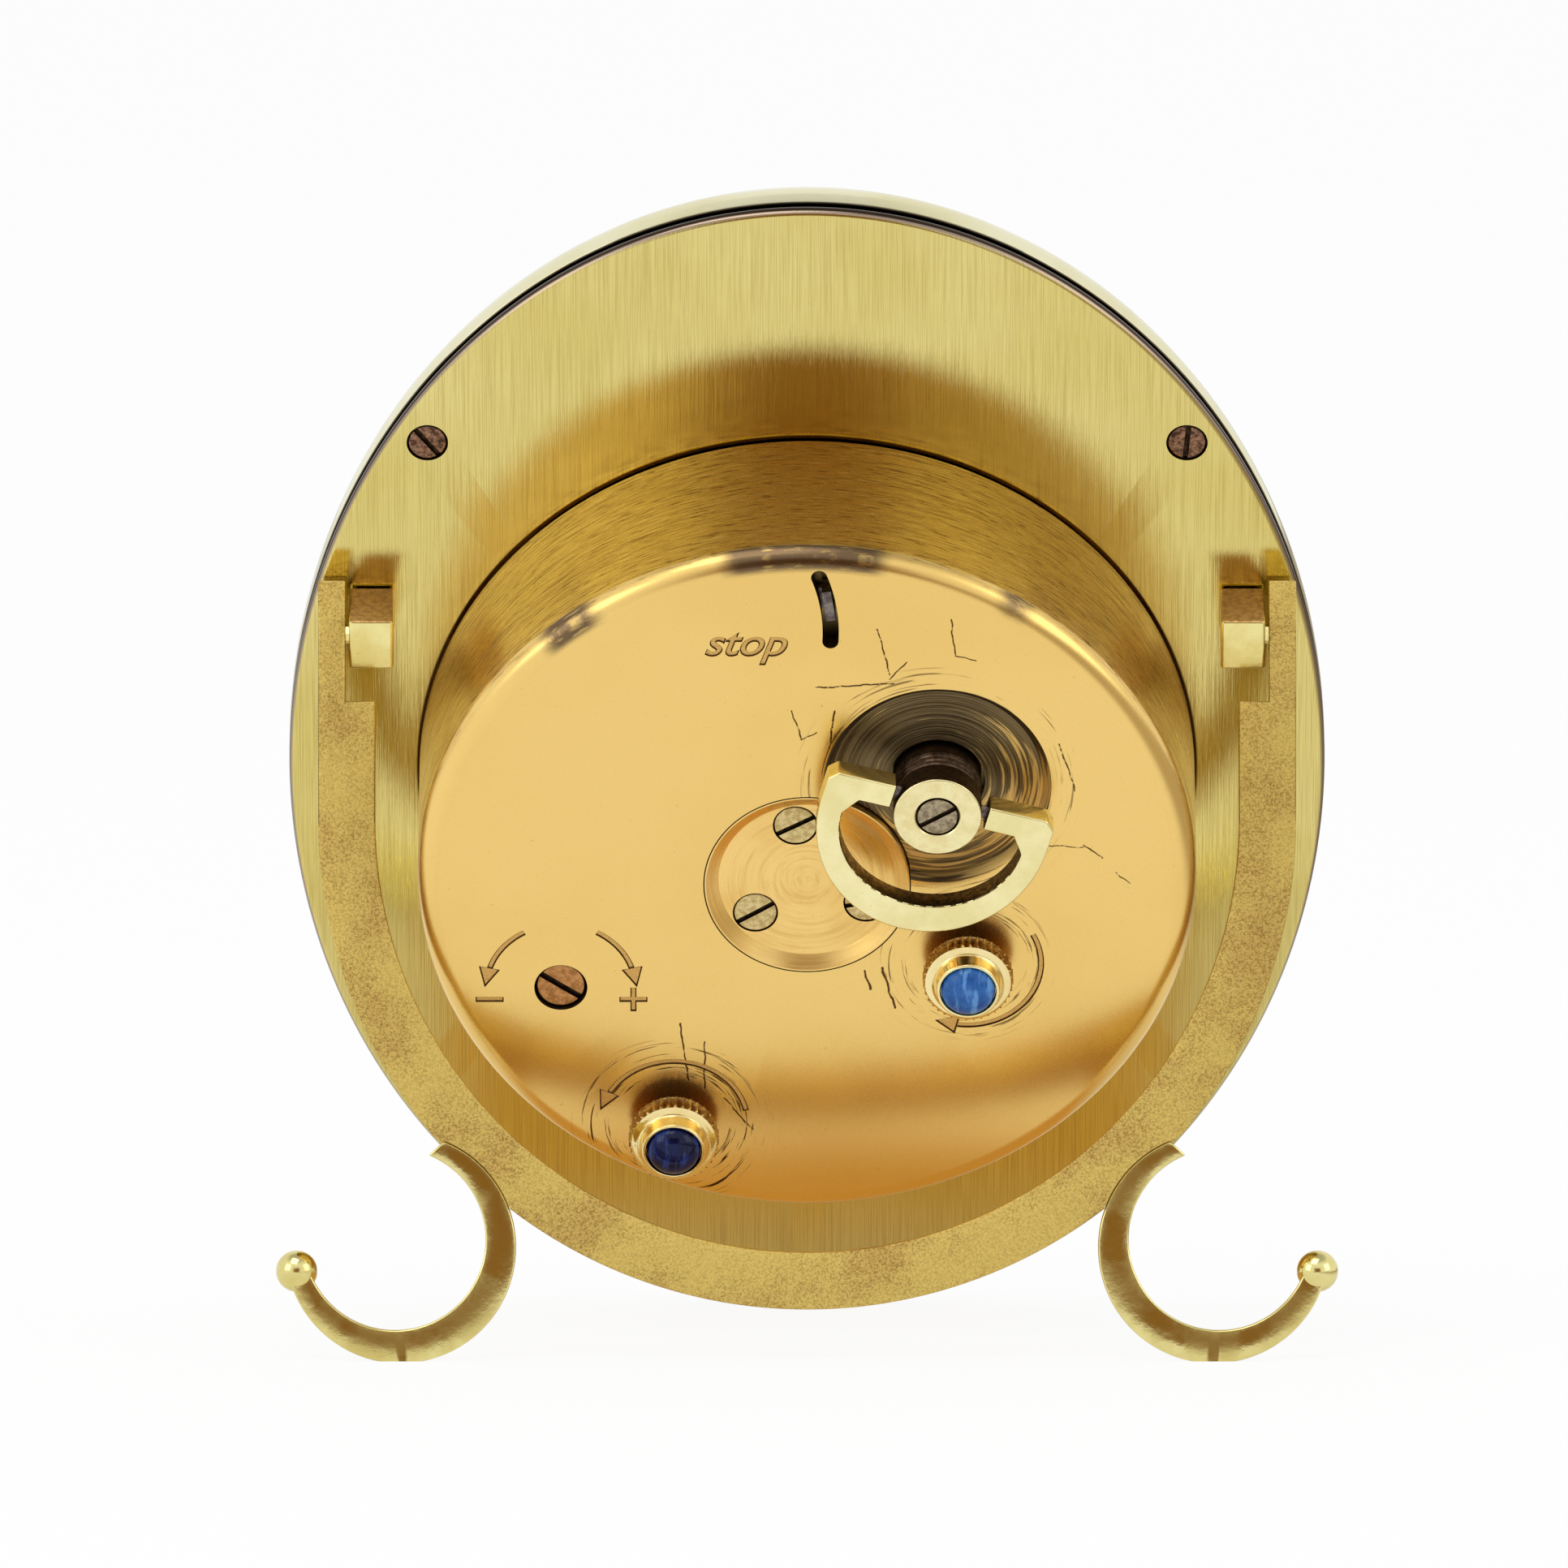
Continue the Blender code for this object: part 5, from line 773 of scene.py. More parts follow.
def satin_can():
    """Warm satin gilding, with turned marks on the side and scratches round the moving parts."""
    material, tree, shader, point = new_material("satin can gilt", 0.36)
    tone = toning(tree, point, 20.0, (0.90, 0.63, 0.21), (0.87, 0.59, 0.185), (0.34, 0.17, 0.04), 0.45)
    level = axes_of(tree, point)[2]
    side = ramp(tree, level, 16.4, 15.4)
    rings = use(tree, TURNED_GRAIN, Vector=point, Rings=9.0, Breaks=2.4, Along_Axis=1.0)
    dashes = use(tree, TURNED_GRAIN, Vector=point, Rings=7.0, Breaks=16.0, Along_Axis=1.0)["Ring"]
    worn, colour = side_marks(tree, rings, dashes, side, level, tone["Color"])
    crooked = use(tree, CROOKED, Vector=point)
    rubbed = edge_wear(tree, crooked, rings, dashes, level)
    colour = mixed(tree, rubbed, colour, (0.15, 0.095, 0.055))
    marks = back_scratches(tree, point, crooked, calc(tree, "SUBTRACT", 1.0, side))
    colour = mixed(tree, marks, colour, (0.09, 0.04, 0.012))
    fine = noise(tree, point, 14.0, 2.0, 0.7)
    rough = calc(tree, "ADD", ramp(tree, fine, 0.3, 0.7, 0.22, 0.28), times(tree, worn, 0.1))
    grain = times(tree, calc(tree, "SUBTRACT", rings["Ring"], 0.5), side)
    height = calc(tree, "SUBTRACT", calc(tree, "ADD", times(tree, fine, 0.35), grain), marks)
    dress(tree, shader, colour, rough, height, 0.006, 0.8)
    return material


def engraved(name, light, dark):
    """Gold inside the engraved lines, browner than the face round them; a near-black copy of it is painted
    shade on the engraving's walls.
    """
    material, tree, shader, point = new_material(name, 0.5)
    grit = noise(tree, point, 9.0, 3.0, 0.7)
    colour = mixed(tree, ramp(tree, grit, 0.3, 0.7), light, dark)
    dress(tree, shader, colour, ramp(tree, grit, 0.2, 0.8, 0.42, 0.6), grit, 0.03, 0.7)
    return material


def stained_dish():
    """The dish round the winding arbor: dark stain, rubbed through in rings on the right and below."""
    material, tree, shader, point = new_material("stained dish", 0.34)
    centre = (10.0, 9.0, 0.0)
    rings = use(tree, TURNED_GRAIN, Vector=point, Centre=centre, Rings=3.0, Breaks=0.8)["Ring"]
    fine = use(tree, TURNED_GRAIN, Vector=point, Centre=centre, Rings=9.0, Breaks=0.6)["Ring"]
    offset = axes_of(tree, vector_calc(tree, "SUBTRACT", point, centre))
    towards = calc(tree, "SUBTRACT", times(tree, offset[0], 0.8), offset[1])
    rubbed = ramp(tree, calc(tree, "ADD", rings, ramp(tree, towards, -3.0, 7.0, 0.0, 0.17)), 0.62, 0.72)
    stain = mixed(tree, ramp(tree, fine, 0.35, 0.65), (0.10, 0.068, 0.03), (0.25, 0.18, 0.085))
    colour = mixed(tree, rubbed, stain, (0.78, 0.52, 0.17))
    dress(tree, shader, colour, ramp(tree, fine, 0.3, 0.7, 0.28, 0.44), fine, 0.04, 0.9)
    return material


def turned_cap():
    """The gilt cap, turned in visible rings."""
    material, tree, shader, point = new_material("turned cap gilt", 0.3)
    ring = use(tree, TURNED_GRAIN, Vector=point, Rings=3.0, Breaks=0.7)["Ring"]
    tone = toning(tree, point, 6.0, (0.94, 0.65, 0.23), (0.86, 0.56, 0.17), (0.25, 0.13, 0.03), 0.5)
    colour = mixed(tree, times(tree, ramp(tree, ring, 0.45, 0.7), 0.35), tone["Color"], (0.60, 0.34, 0.09))
    dress(tree, shader, colour, ramp(tree, ring, 0.3, 0.7, 0.24, 0.36), ring, 0.02, 0.8)
    return material


def sandy_strut():
    """Gilding over a sandy casting, darker in the pits."""
    material, tree, shader, point = new_material("cast strut gilt", 0.5, STRUT)
    sand = noise(tree, point, 6.5, 3.0, 0.8)
    cloud = noise(tree, point, 0.16, 3.0, 0.6)
    pits = times(tree, ramp(tree, sand, 0.42, 0.64), ramp(tree, cloud, 0.35, 0.65, 0.4, 0.9))
    base = mixed(tree, ramp(tree, cloud, 0.46, 0.66, 0.0, 0.7), (0.74, 0.56, 0.16), (0.64, 0.44, 0.13))
    colour = mixed(tree, pits, base, (0.30, 0.17, 0.04))
    dress(tree, shader, colour, ramp(tree, sand, 0.3, 0.7, 0.4, 0.62), sand, 0.08, 0.6)
    return material


def polished_brass(name, place, bright, toned, rough=0.13):
    """Polished brass with light stains and fine scratches."""
    material, tree, shader, point = new_material(name, rough, place)
    tone = toning(tree, point, 3.5, bright, toned, (0.22, 0.13, 0.05), 0.6)
    dull = ramp(tree, tone["Patch"], 0.0, 1.0, rough - 0.03, rough + 0.09)
    dress(tree, shader, tone["Color"], dull, noise(tree, point, 1.4, 4.0, 0.6), 0.03, 0.5)
    return material


def rough_metal(name, place, light, dark, rough=0.45, size=1.2):
    """Dull stained metal, used for screws, the stem and the hidden works; near black, it is also painted
    shade in recesses.
    """
    material, tree, shader, point = new_material(name, rough, place)
    grit = noise(tree, point, size, 5.0, 0.7)
    colour = mixed(tree, ramp(tree, grit, 0.36, 0.64), light, dark)
    dress(tree, shader, colour, ramp(tree, grit, 0.2, 0.8, rough - 0.1, rough + 0.12), grit, 0.03, 0.6)
    return material


def cabochon(name, deep, light, highlight):
    """Polished blue stone, cloudy inside, with painted highlight streaks up and down it."""
    sockets = {"IOR": 1.33, "Specular_IOR_Level": 0.5}
    material, tree, shader, point = new_material(name, 0.07, metallic=0.0, **sockets)
    cloud = noise(tree, point, 0.8, 3.0, 0.5)
    colour = mixed(tree, ramp(tree, cloud, 0.3, 0.7), deep, light)
    # Painted highlights: lighter streaks stretched up and down the stone
    highlight_streaks = noise(tree, vector_calc(tree, "MULTIPLY", point, (1.6, 0.35, 0.5)), 1.0, 3.0, 0.6)
    colour = mixed(tree, times(tree, ramp(tree, highlight_streaks, 0.5, 0.66), 0.8), colour, highlight)
    dress(tree, shader, colour, ramp(tree, cloud, 0.2, 0.8, 0.05, 0.1))
    return material


def enamel():
    """Cream enamel with a faint orange-peel surface."""
    sockets = {"Coat_Weight": 0.4, "Coat_Roughness": 0.08}
    material, tree, shader, point = new_material("cream enamel", 0.25, metallic=0.0, **sockets)
    colour = mixed(tree, noise(tree, point, 0.07, 3.0), (0.94, 0.89, 0.76), (0.89, 0.83, 0.69))
    rough = ramp(tree, noise(tree, point, 2.0), 0.3, 0.7, 0.2, 0.32)
    dress(tree, shader, colour, rough, noise(tree, point, 0.8, 2.0), 0.02, 0.4)
    return material


def printed():
    """Black print of the dial's figures and minute track."""
    material, tree, shader, point = new_material("dial print", 0.4, metallic=0.0)
    grit = noise(tree, point, 6.0, 3.0)
    colour = mixed(tree, grit, (0.012, 0.012, 0.016), (0.035, 0.033, 0.04))
    dress(tree, shader, colour, ramp(tree, grit, 0.2, 0.8, 0.3, 0.5))
    return material


def glass():
    """Clear crystal with faint handling marks."""
    sockets = {"IOR": 1.5, "Transmission_Weight": 1.0}
    material, tree, shader, point = new_material("clear crystal", 0.02, metallic=0.0, **sockets)
    colour = mixed(tree, noise(tree, point, 0.05), (0.97, 0.985, 0.98), (0.985, 0.99, 0.99))
    dress(tree, shader, colour, ramp(tree, noise(tree, point, 0.12, 4.0), 0.45, 0.75, 0.01, 0.05))
    return material


def blued():
    """Heat-blued steel, purple towards the thin parts."""
    material, tree, shader, point = new_material("blued steel", 0.22)
    cloud = noise(tree, point, 0.25, 3.0)
    colour = mixed(tree, ramp(tree, cloud, 0.35, 0.65), (0.03, 0.06, 0.28), (0.09, 0.05, 0.22))
    rough = ramp(tree, cloud, 0.3, 0.7, 0.16, 0.28)
    dress(tree, shader, colour, rough, noise(tree, point, 3.0, 3.0), 0.01, 0.4)
    return material


PLATE_FINISH = brushed_plate()
BAND_FINISH = polished_band()
CAN_FINISH = satin_can()
# Near-black copy on the engraving's walls: painted shade in the grooves
ENGRAVED_WALL_SHADE = engraved("engraved wall painted shade", (0.10, 0.045, 0.012), (0.05, 0.022, 0.006))
ENGRAVED_FINISH = engraved("engraved floor", (0.84, 0.55, 0.19), (0.62, 0.36, 0.10))
DISH_FINISH = stained_dish()
CAP_FINISH = turned_cap()
STRUT_FINISH = sandy_strut()
LUG_FINISH = polished_brass("lug brass", CASE, (0.88, 0.78, 0.34), (0.78, 0.64, 0.22))
FOOT_FINISH = polished_brass("foot brass", STRUT, (0.82, 0.73, 0.32), (0.72, 0.61, 0.22), 0.14)
CROWN_FINISH = polished_brass("crown brass", CASE, (0.94, 0.80, 0.42), (0.88, 0.70, 0.30), 0.1)
BOW_FINISH = polished_brass("bow brass", BOW, (0.94, 0.86, 0.47), (0.86, 0.76, 0.36), 0.18)
LUG_TOP_FINISH = rough_metal("lug top", CASE, (0.70, 0.44, 0.15), (0.40, 0.22, 0.07), 0.5, 2.0)
KNURL_FINISH = rough_metal("knurled edge", CASE, (0.66, 0.47, 0.20), (0.34, 0.20, 0.08), 0.26, 2.0)
BOW_SIDE_FINISH = rough_metal("bow side", BOW, (0.30, 0.20, 0.08), (0.07, 0.045, 0.02), 0.3, 2.4)
HUB_FINISH = rough_metal("hub face", KEY, (0.92, 0.83, 0.46), (0.84, 0.72, 0.36), 0.26, 0.9)
STEM_FINISH = rough_metal("dark stem", KEY, (0.10, 0.065, 0.04), (0.035, 0.02, 0.012), 0.36, 1.5)
CAP_SCREW_FINISH = rough_metal("cap screw brass", CASE, (0.74, 0.60, 0.28), (0.50, 0.36, 0.14), 0.38, 2.2)
KEY_SCREW_FINISH = rough_metal("key screw steel", KEY, (0.44, 0.37, 0.24), (0.22, 0.17, 0.10), 0.4, 2.4)
CASE_SCREW_FINISH = rough_metal("toned screw", CASE, (0.36, 0.20, 0.12), (0.07, 0.035, 0.025), 0.42, 2.0)
REGULATOR_FINISH = rough_metal("coppery screw", CASE, (0.56, 0.28, 0.10), (0.36, 0.16, 0.05), 0.36, 1.8)
# Near black: painted shade on the walls of screw slots, wells, holes and the stop slot
RECESS_SHADE = rough_metal("recess painted shade", CASE, (0.09, 0.055, 0.03), (0.03, 0.018, 0.01), 0.6, 2.0)
INSIDE_FINISH = rough_metal("inner brass", CASE, (0.56, 0.42, 0.16), (0.44, 0.31, 0.10), 0.4, 0.8)
STEEL_FINISH = rough_metal("dark steel", CASE, (0.26, 0.22, 0.20), (0.10, 0.08, 0.075), 0.34, 1.4)
LIGHT_STONE = cabochon("light blue stone", (0.012, 0.075, 0.29), (0.03, 0.15, 0.46), (0.13, 0.33, 0.68))
DARK_STONE = cabochon("dark blue stone", (0.001, 0.002, 0.022), (0.002, 0.007, 0.075), (0.02, 0.05, 0.25))
ENAMEL = enamel()
PRINT = printed()
GLASS = glass()
BLUED = blued()


def keep_above(bm):
    """Takes off whatever reaches below z = 0, and closes the flat that it leaves."""
    plane = {"plane_co": ORIGIN, "plane_no": (0, 0, -1)}
    made = bmesh.ops.bisect_plane(bm, geom=all_parts(bm), dist=MERGE, clear_outer=True, **plane)
    bmesh.ops.holes_fill(bm, edges=edges_of(made["geom_cut"]), sides=0)


def case_screw_places():
    x = (CASE_HALF_WIDTH - BAND_WALL / 2) * math.cos(CASE_SCREW_ANGLE)
    y = (CASE_HALF_HEIGHT - BAND_WALL / 2) * math.sin(CASE_SCREW_ANGLE)
    return [(-x, y), (x, y), (-x, -y), (x, -y)]


def make_back_plate():
    """Oval plate with a rounded edge, the can's bore and a well round each screw, painted near black as
    shade.
    """
    half = PLATE_THICKNESS / 2
    rings = []
    for angle in (math.pi * i / 10 for i in range(11)):
        rings.append(oval(PLATE_EDGE * (1 - math.sin(angle)), half * math.cos(angle) - half))
    bore = SPIGOT_RADIUS + CAN_SEAT
    rings += [(bore, bore, -PLATE_THICKNESS), (bore, bore, 0)]
    finish = ("polished_brass", PLATE_FINISH)
    piece = new_piece("back_plate_brushed", lofted(rings), CASE, "case", finish, ["back_plate"])
    for x, y in case_screw_places():
        carve(piece, (drum(CASE_WELL_RADIUS, CLEAR, -CASE_WELL_DEPTH), at(CASE, x, y), RECESS_SHADE))
    reshape(piece, keep_above)


def make_case_band():
    """Polished band that curves in towards the glass and ends in a thin lip."""
    rings = [oval(BAND_CHAMFER, BAND_BACK), oval(0, BAND_BACK - BAND_CHAMFER)]
    for angle in (math.pi / 2 * i / 14 for i in range(15)):
        level = BAND_BACK - BAND_STRAIGHT - BAND_CURVE_DEPTH * math.sin(angle)
        rings.append(oval(BAND_CURVE_INSET * (1 - math.cos(angle)), level))
    lip = BAND_WALL + LIP_OVERHANG
    lip_back = BAND_FRONT + LIP_THICKNESS
    rings += [oval(lip - LIP_CHAMFER, BAND_FRONT), oval(lip, BAND_FRONT + LIP_CHAMFER)]
    rings += [oval(lip, lip_back), oval(BAND_WALL, lip_back), oval(BAND_WALL, BAND_BACK)]
    finish = ("polished_brass", BAND_FINISH)
    piece = new_piece("case_band_polished", lofted(rings), CASE, "case", finish, ["case_band"], 40)
    reshape(piece, keep_above)


def make_crystal():
    """Crystal with a low dome towards the front."""
    width, height, _ = oval(BAND_WALL + GLASS_GAP, 0)
    rings = [(width, height, CRYSTAL_BACK)]
    for share in (math.cos(math.pi / 2 * i / 12) for i in range(13)):
        level = CRYSTAL_RIM - CRYSTAL_DOME * (1 - share**2)
        rings.append((max(width * share, CRYSTAL_TIP), max(height * share, CRYSTAL_TIP), level))
    finish = ("clear_crystal", GLASS)
    new_piece("crystal_domed", lofted(rings, closed=False), CASE, "case", finish, ["crystal"])


def make_dial():
    rings = [oval(BAND_WALL + GLASS_GAP, level) for level in (DIAL_BACK, DIAL_FRONT)]
    rings += [(DIAL_HOLE, DIAL_HOLE, level) for level in (DIAL_FRONT, DIAL_BACK)]
    new_piece("dial_enamel", lofted(rings), CASE, "case", ("cream_enamel", ENAMEL), ["dial"])


def lettering(text, size, thickness, slant=0.0, slope=0.0):
    """A bmesh of plain lettering, centred on z = 0, with its edges sloped on request."""
    curve = bpy.data.curves.new("lettering", "FONT")
    curve.body, curve.size, curve.shear = text, size, slant
    curve.extrude, curve.bevel_depth, curve.bevel_resolution = thickness / 2 - slope, slope, 0
    curve.align_x, curve.align_y = "CENTER", "CENTER"
    curve.resolution_u = 5
    holder = new_object("lettering", curve)
    bpy.context.view_layer.update()
    mesh = bpy.data.meshes.new_from_object(holder.evaluated_get(bpy.context.evaluated_depsgraph_get()))
    bm = bmesh.new()
    bm.from_mesh(mesh)
    bmesh.ops.remove_doubles(bm, verts=bm.verts, dist=MERGE)
    bpy.data.objects.remove(holder)
    bpy.data.meshes.remove(mesh)
    return bm


def dial_place(angle, inset, turn):
    """A place on the dial's front at a clock angle, seen from the dial's side."""
    width, height, _ = oval(inset, 0)
    across, along = math.sin(angle), math.cos(angle)
    reach = width * height / math.hypot(height * across, width * along)
    place = Matrix.Translation((-reach * across, reach * along, DIAL_FRONT - PRINT_HALF))
    return place @ Matrix.Rotation(math.pi, 4, "Y") @ Matrix.Rotation(turn, 4, "Z")


def make_dial_print():
    """Roman figures and a minute track, raised a hair from the enamel."""
    bm = bmesh.new()
    stretch = Matrix.Scale(FIGURE_STRETCH, 4, (0, 1, 0))
    for hour, figure in enumerate(FIGURES):
        angle = TAU * hour / 12
        turn = math.pi - angle if 3 < hour < 9 else -angle
        place = dial_place(angle, FIGURE_INSET, turn)
        merge(bm, lettering(figure, FIGURE_SIZE, 2 * PRINT_HALF), place @ stretch)
    for minute in range(60):
        angle = TAU * minute / 60
        half, reach = MINUTE_TICK if minute % 5 else HOUR_TICK
        tick = box((-half, -reach, -PRINT_HALF), (half, reach, PRINT_HALF))
        merge(bm, tick, dial_place(angle, TICK_INSET, -angle))
    low, high = DIAL_FRONT - 2 * PRINT_HALF, DIAL_FRONT
    for inset in TRACK_INSETS:
        inner = inset + TRACK_LINE
        merge(bm, lofted([oval(inset, low), oval(inset, high), oval(inner, high), oval(inner, low)], 180))
    new_piece("dial_figures", bm, CASE, "case", ("cream_enamel", PRINT), [])


def make_screw(name, place, turn, body, finish, radius, sizes):
    """A screw with a slightly domed head, its top at z = 0, and a slot across it."""
    height, slot, depth, length = (size * MM for size in sizes)
    edge = min(0.12 * MM, height / 4)
    shank, end = radius * 0.5, -height - length
    profile = [(0, 0.02 * MM), (radius * 0.6, 0.01 * MM), (radius - edge, 0)]
    profile += round_over((radius - edge, -edge), edge, 80, 0, 4)
    profile += [(radius, -height), (shank, -height), (shank, end), (0, end)]
    piece = new_piece(f"{name}_slotted", turned(profile, SMALL_STEPS), place, body, finish, [name], 25)
    reach = radius * 1.5
    cutter = box((-reach, -slot / 2, -depth), (reach, slot / 2, CLEAR))
    # The slot's faces take the painted shade
    carve(piece, (cutter, place @ Matrix.Rotation(turn, 4, "Z"), RECESS_SHADE))


def make_screws():
    finish = ("bronze_screw", CASE_SCREW_FINISH)
    for number, ((x, y), turn) in enumerate(zip(case_screw_places(), CASE_SCREW_TURNS), 1):
        place = at(CASE, x, y, -CASE_SCREW_SUNK)
        make_screw(f"case_screw_{number}", place, turn, "case", finish, CASE_SCREW_RADIUS, CASE_SCREW)
    finish = ("pale_brass", CAP_SCREW_FINISH)
    for number, (angle, turn) in enumerate(zip(CAP_SCREW_ANGLES, CAP_SCREW_TURNS), 1):
        place = at(CASE, *polar(CAP_SCREW_CIRCLE, angle), CAN_DEPTH - CAP_RECESS)
        make_screw(f"cap_screw_{number}", place, turn, "case", finish, CAP_SCREW_RADIUS, CAP_SCREW)
    place = at(CASE, *REGULATOR, CAN_DEPTH - REGULATOR_SUNK)
    finish, body = ("bronze_screw", REGULATOR_FINISH), "regulator_screw_body"
    make_screw("regulator_screw", place, REGULATOR_TURN, body, finish, REGULATOR_RADIUS, REGULATOR_SCREW)
    place = at(KEY, 0, 0, KEY_TOP)
    finish = ("pale_brass", KEY_SCREW_FINISH)
    make_screw("key_screw", place, KEY_SCREW_TURN, "key", finish, KEY_SCREW_RADIUS, KEY_SCREW)


def make_can():
    """The movement's can, with the dish, slot and holes in its back, and the engraving."""
    centre = (CAN_RADIUS - CAN_EDGE, CAN_DEPTH - CAN_EDGE)
    profile = [(CAP_HOLE, CAN_DEPTH), *round_over(centre, CAN_EDGE, 90, 0, 14)]
    profile += [(CAN_RADIUS, CAN_SEAT + CAN_SEAT_CHAMFER), (CAN_RADIUS - CAN_SEAT_CHAMFER, CAN_SEAT)]
    profile += [(SPIGOT_RADIUS, CAN_SEAT), (SPIGOT_RADIUS, -PLATE_THICKNESS), (CAN_BORE, -PLATE_THICKNESS)]
    profile += [(CAN_BORE, CAN_INSIDE), (CAP_HOLE, CAN_INSIDE)]
    finish = ("satin_gilt", CAN_FINISH)
    bm = turned(profile, 192, True)
    piece = new_piece("movement_can_satin", bm, CASE, "case", finish, ["movement_can"])
    dish = (dish_cutter(), at(CASE, *WINDING), DISH_FINISH)
    slot = (slot_cutter(), at(CASE, *STOP_PIVOT), RECESS_SHADE)
    holes = ((REGULATOR_HOLE, REGULATOR), (ARBOR_HOLE, TIME_CROWN), (ARBOR_HOLE, ALARM_CROWN))
    bored = [(drum(radius, CUTTER_LOW, CUTTER_HIGH), at(CASE, *place)) for radius, place in holes]
    # The stop slot and the holes take the painted shade, the dish its own finish
    carve(piece, dish, slot, *((*cutter, RECESS_SHADE) for cutter in bored))
    carve(piece, (engraving(), CASE, ENGRAVED_WALL_SHADE, ENGRAVED_FINISH), crossing=True)


def dish_cutter():
    """The sloped dish round the winding arbor, and the hole in its middle."""
    brim, stem, floor = DISH_RADIUS + 0.1 * MM, KEY_RADIUS + 0.3 * MM, CAN_DEPTH - DISH_DEPTH
    profile = [(0, CUTTER_HIGH), (brim, CUTTER_HIGH), (brim, CUT_HIGH)]
    profile += [(DISH_RADIUS, CAN_DEPTH - 0.06 * MM), (DISH_RADIUS - DISH_SLOPE, floor)]
    profile += [(stem, floor), (stem, CUTTER_LOW), (0, CUTTER_LOW)]
    return turned(profile, 128)


def slot_cutter():
    """The curved slot's outline is drawn by turning one point round four centres."""
    half = STOP_SLOT / 2
    sweep = STOP_END - STOP_START
    bm = bmesh.new()
    last = [bm.verts.new((*polar(STOP_RADIUS + half, STOP_START), 0))]
    first_end = (*polar(STOP_RADIUS, STOP_START), 0)
    last_end = (*polar(STOP_RADIUS, STOP_END), 0)
    turns = ((ORIGIN, sweep, 16), (last_end, math.pi, 12), (ORIGIN, -sweep, 16), (first_end, math.pi, 12))
    for centre, angle, steps in turns:
        last = bmesh.ops.spin(bm, geom=last, cent=centre, axis=UPWARD, angle=angle, steps=steps)["geom_last"]
    bmesh.ops.remove_doubles(bm, verts=bm.verts, dist=MERGE)
    bmesh.ops.contextual_create(bm, geom=bm.edges[:])
    return thicken(bm, CUTTER_LOW, CUTTER_HIGH)


def arrow(bm, centre, radius, start, end):
    """A curved arrow from one angle to another, in degrees, with a triangle for its head."""
    near, far = radius - STROKE / 2, radius + STROKE / 2
    section = [(near + WALL_SLOPE, CUT_LOW), (far - WALL_SLOPE, CUT_LOW), (far, CUT_HIGH), (near, CUT_HIGH)]
    first, last = math.radians(start), math.radians(end)
    steps = max(8, int(abs(end - start) / 4))
    merge(bm, swept(section, first, last, steps), Matrix.Translation((*centre, 0)))
    head = [(0, CUT_LOW), (ARROW_HEAD - 2 * WALL_SLOPE, CUT_LOW), (ARROW_HEAD, CUT_HIGH), (0, CUT_HIGH)]
    way = math.copysign(1, last - first)
    middle = last + way * ARROW_HEAD * 0.6 / radius
    place = Matrix.Translation((*polar(radius, middle, centre), 0))
    turn = Matrix.Rotation(middle + way * math.pi / 2, 4, "Z")
    merge(bm, turned(head, 3), place @ turn @ Matrix.Scale(HEAD_STRETCH, 4, (1, 0, 0)))


def sign(bm, place, upright):
    """A minus, or with its upright a plus."""
    half = STROKE / 2
    cross = box((-half, -half, CUT_LOW), (half, half, CUT_HIGH))
    sides = [f for f in cross.faces if abs(f.normal.x) > 0.9 or (upright and abs(f.normal.y) > 0.9)]
    for side in bmesh.ops.extrude_discrete_faces(cross, faces=sides)["faces"]:
        move(cross, side.normal * (SIGN_REACH - half), side.verts)
    for vert in cross.verts:
        if vert.co.z < CAN_DEPTH:
            vert.co.x -= math.copysign(WALL_SLOPE, vert.co.x)
            vert.co.y -= math.copysign(WALL_SLOPE, vert.co.y)
    merge(bm, cross, Matrix.Translation((*place, 0)))


def engraving():
    """Direction arrows, plus and minus signs and the word by the slot."""
    bm = bmesh.new()
    for centre, radius, start, end in ARROWS:
        arrow(bm, centre, radius, start, end)
    sign(bm, MINUS_PLACE, False)
    sign(bm, PLUS_PLACE, True)
    word = lettering("stop", WORD_SIZE, 2 * ENGRAVED_DEPTH, WORD_SLANT, ENGRAVED_DEPTH * 0.7)
    merge(bm, word, Matrix.Translation((*WORD_PLACE, CAN_DEPTH)))
    bmesh.ops.recalc_face_normals(bm, faces=bm.faces)
    # The floors take the gold and the walls, every other face, the painted shade
    for face in bm.faces:
        face.material_index = 1 if face.normal.z < -0.9 else 0
    return bm


def make_cap():
    """The cap sunk in the can's back, with a well round each of its screws."""
    floor = CAN_DEPTH - CAP_RECESS
    rim = CAP_RADIUS - CAP_RIM
    profile = [(0, floor), (rim - CAP_CHAMFER - 0.1 * MM, floor), (rim - CAP_CHAMFER, floor + 0.08 * MM)]
    profile += [(rim, CAN_DEPTH), (CAP_RADIUS, CAN_DEPTH), (CAP_RADIUS, CAP_BOTTOM), (0, CAP_BOTTOM)]
    finish = ("satin_gilt", CAP_FINISH)
    piece = new_piece("inset_cap_turned", turned(profile), CASE, "case", finish, ["inset_cap"], 20)
    for angle in CAP_SCREW_ANGLES:
        well = drum(CAP_SCREW_RADIUS + 0.1 * MM, CLEAR, -CAP_WELL_DEPTH)
        # The well's faces take the painted shade
        carve(piece, (well, at(CASE, *polar(CAP_SCREW_CIRCLE, angle), floor), RECESS_SHADE))


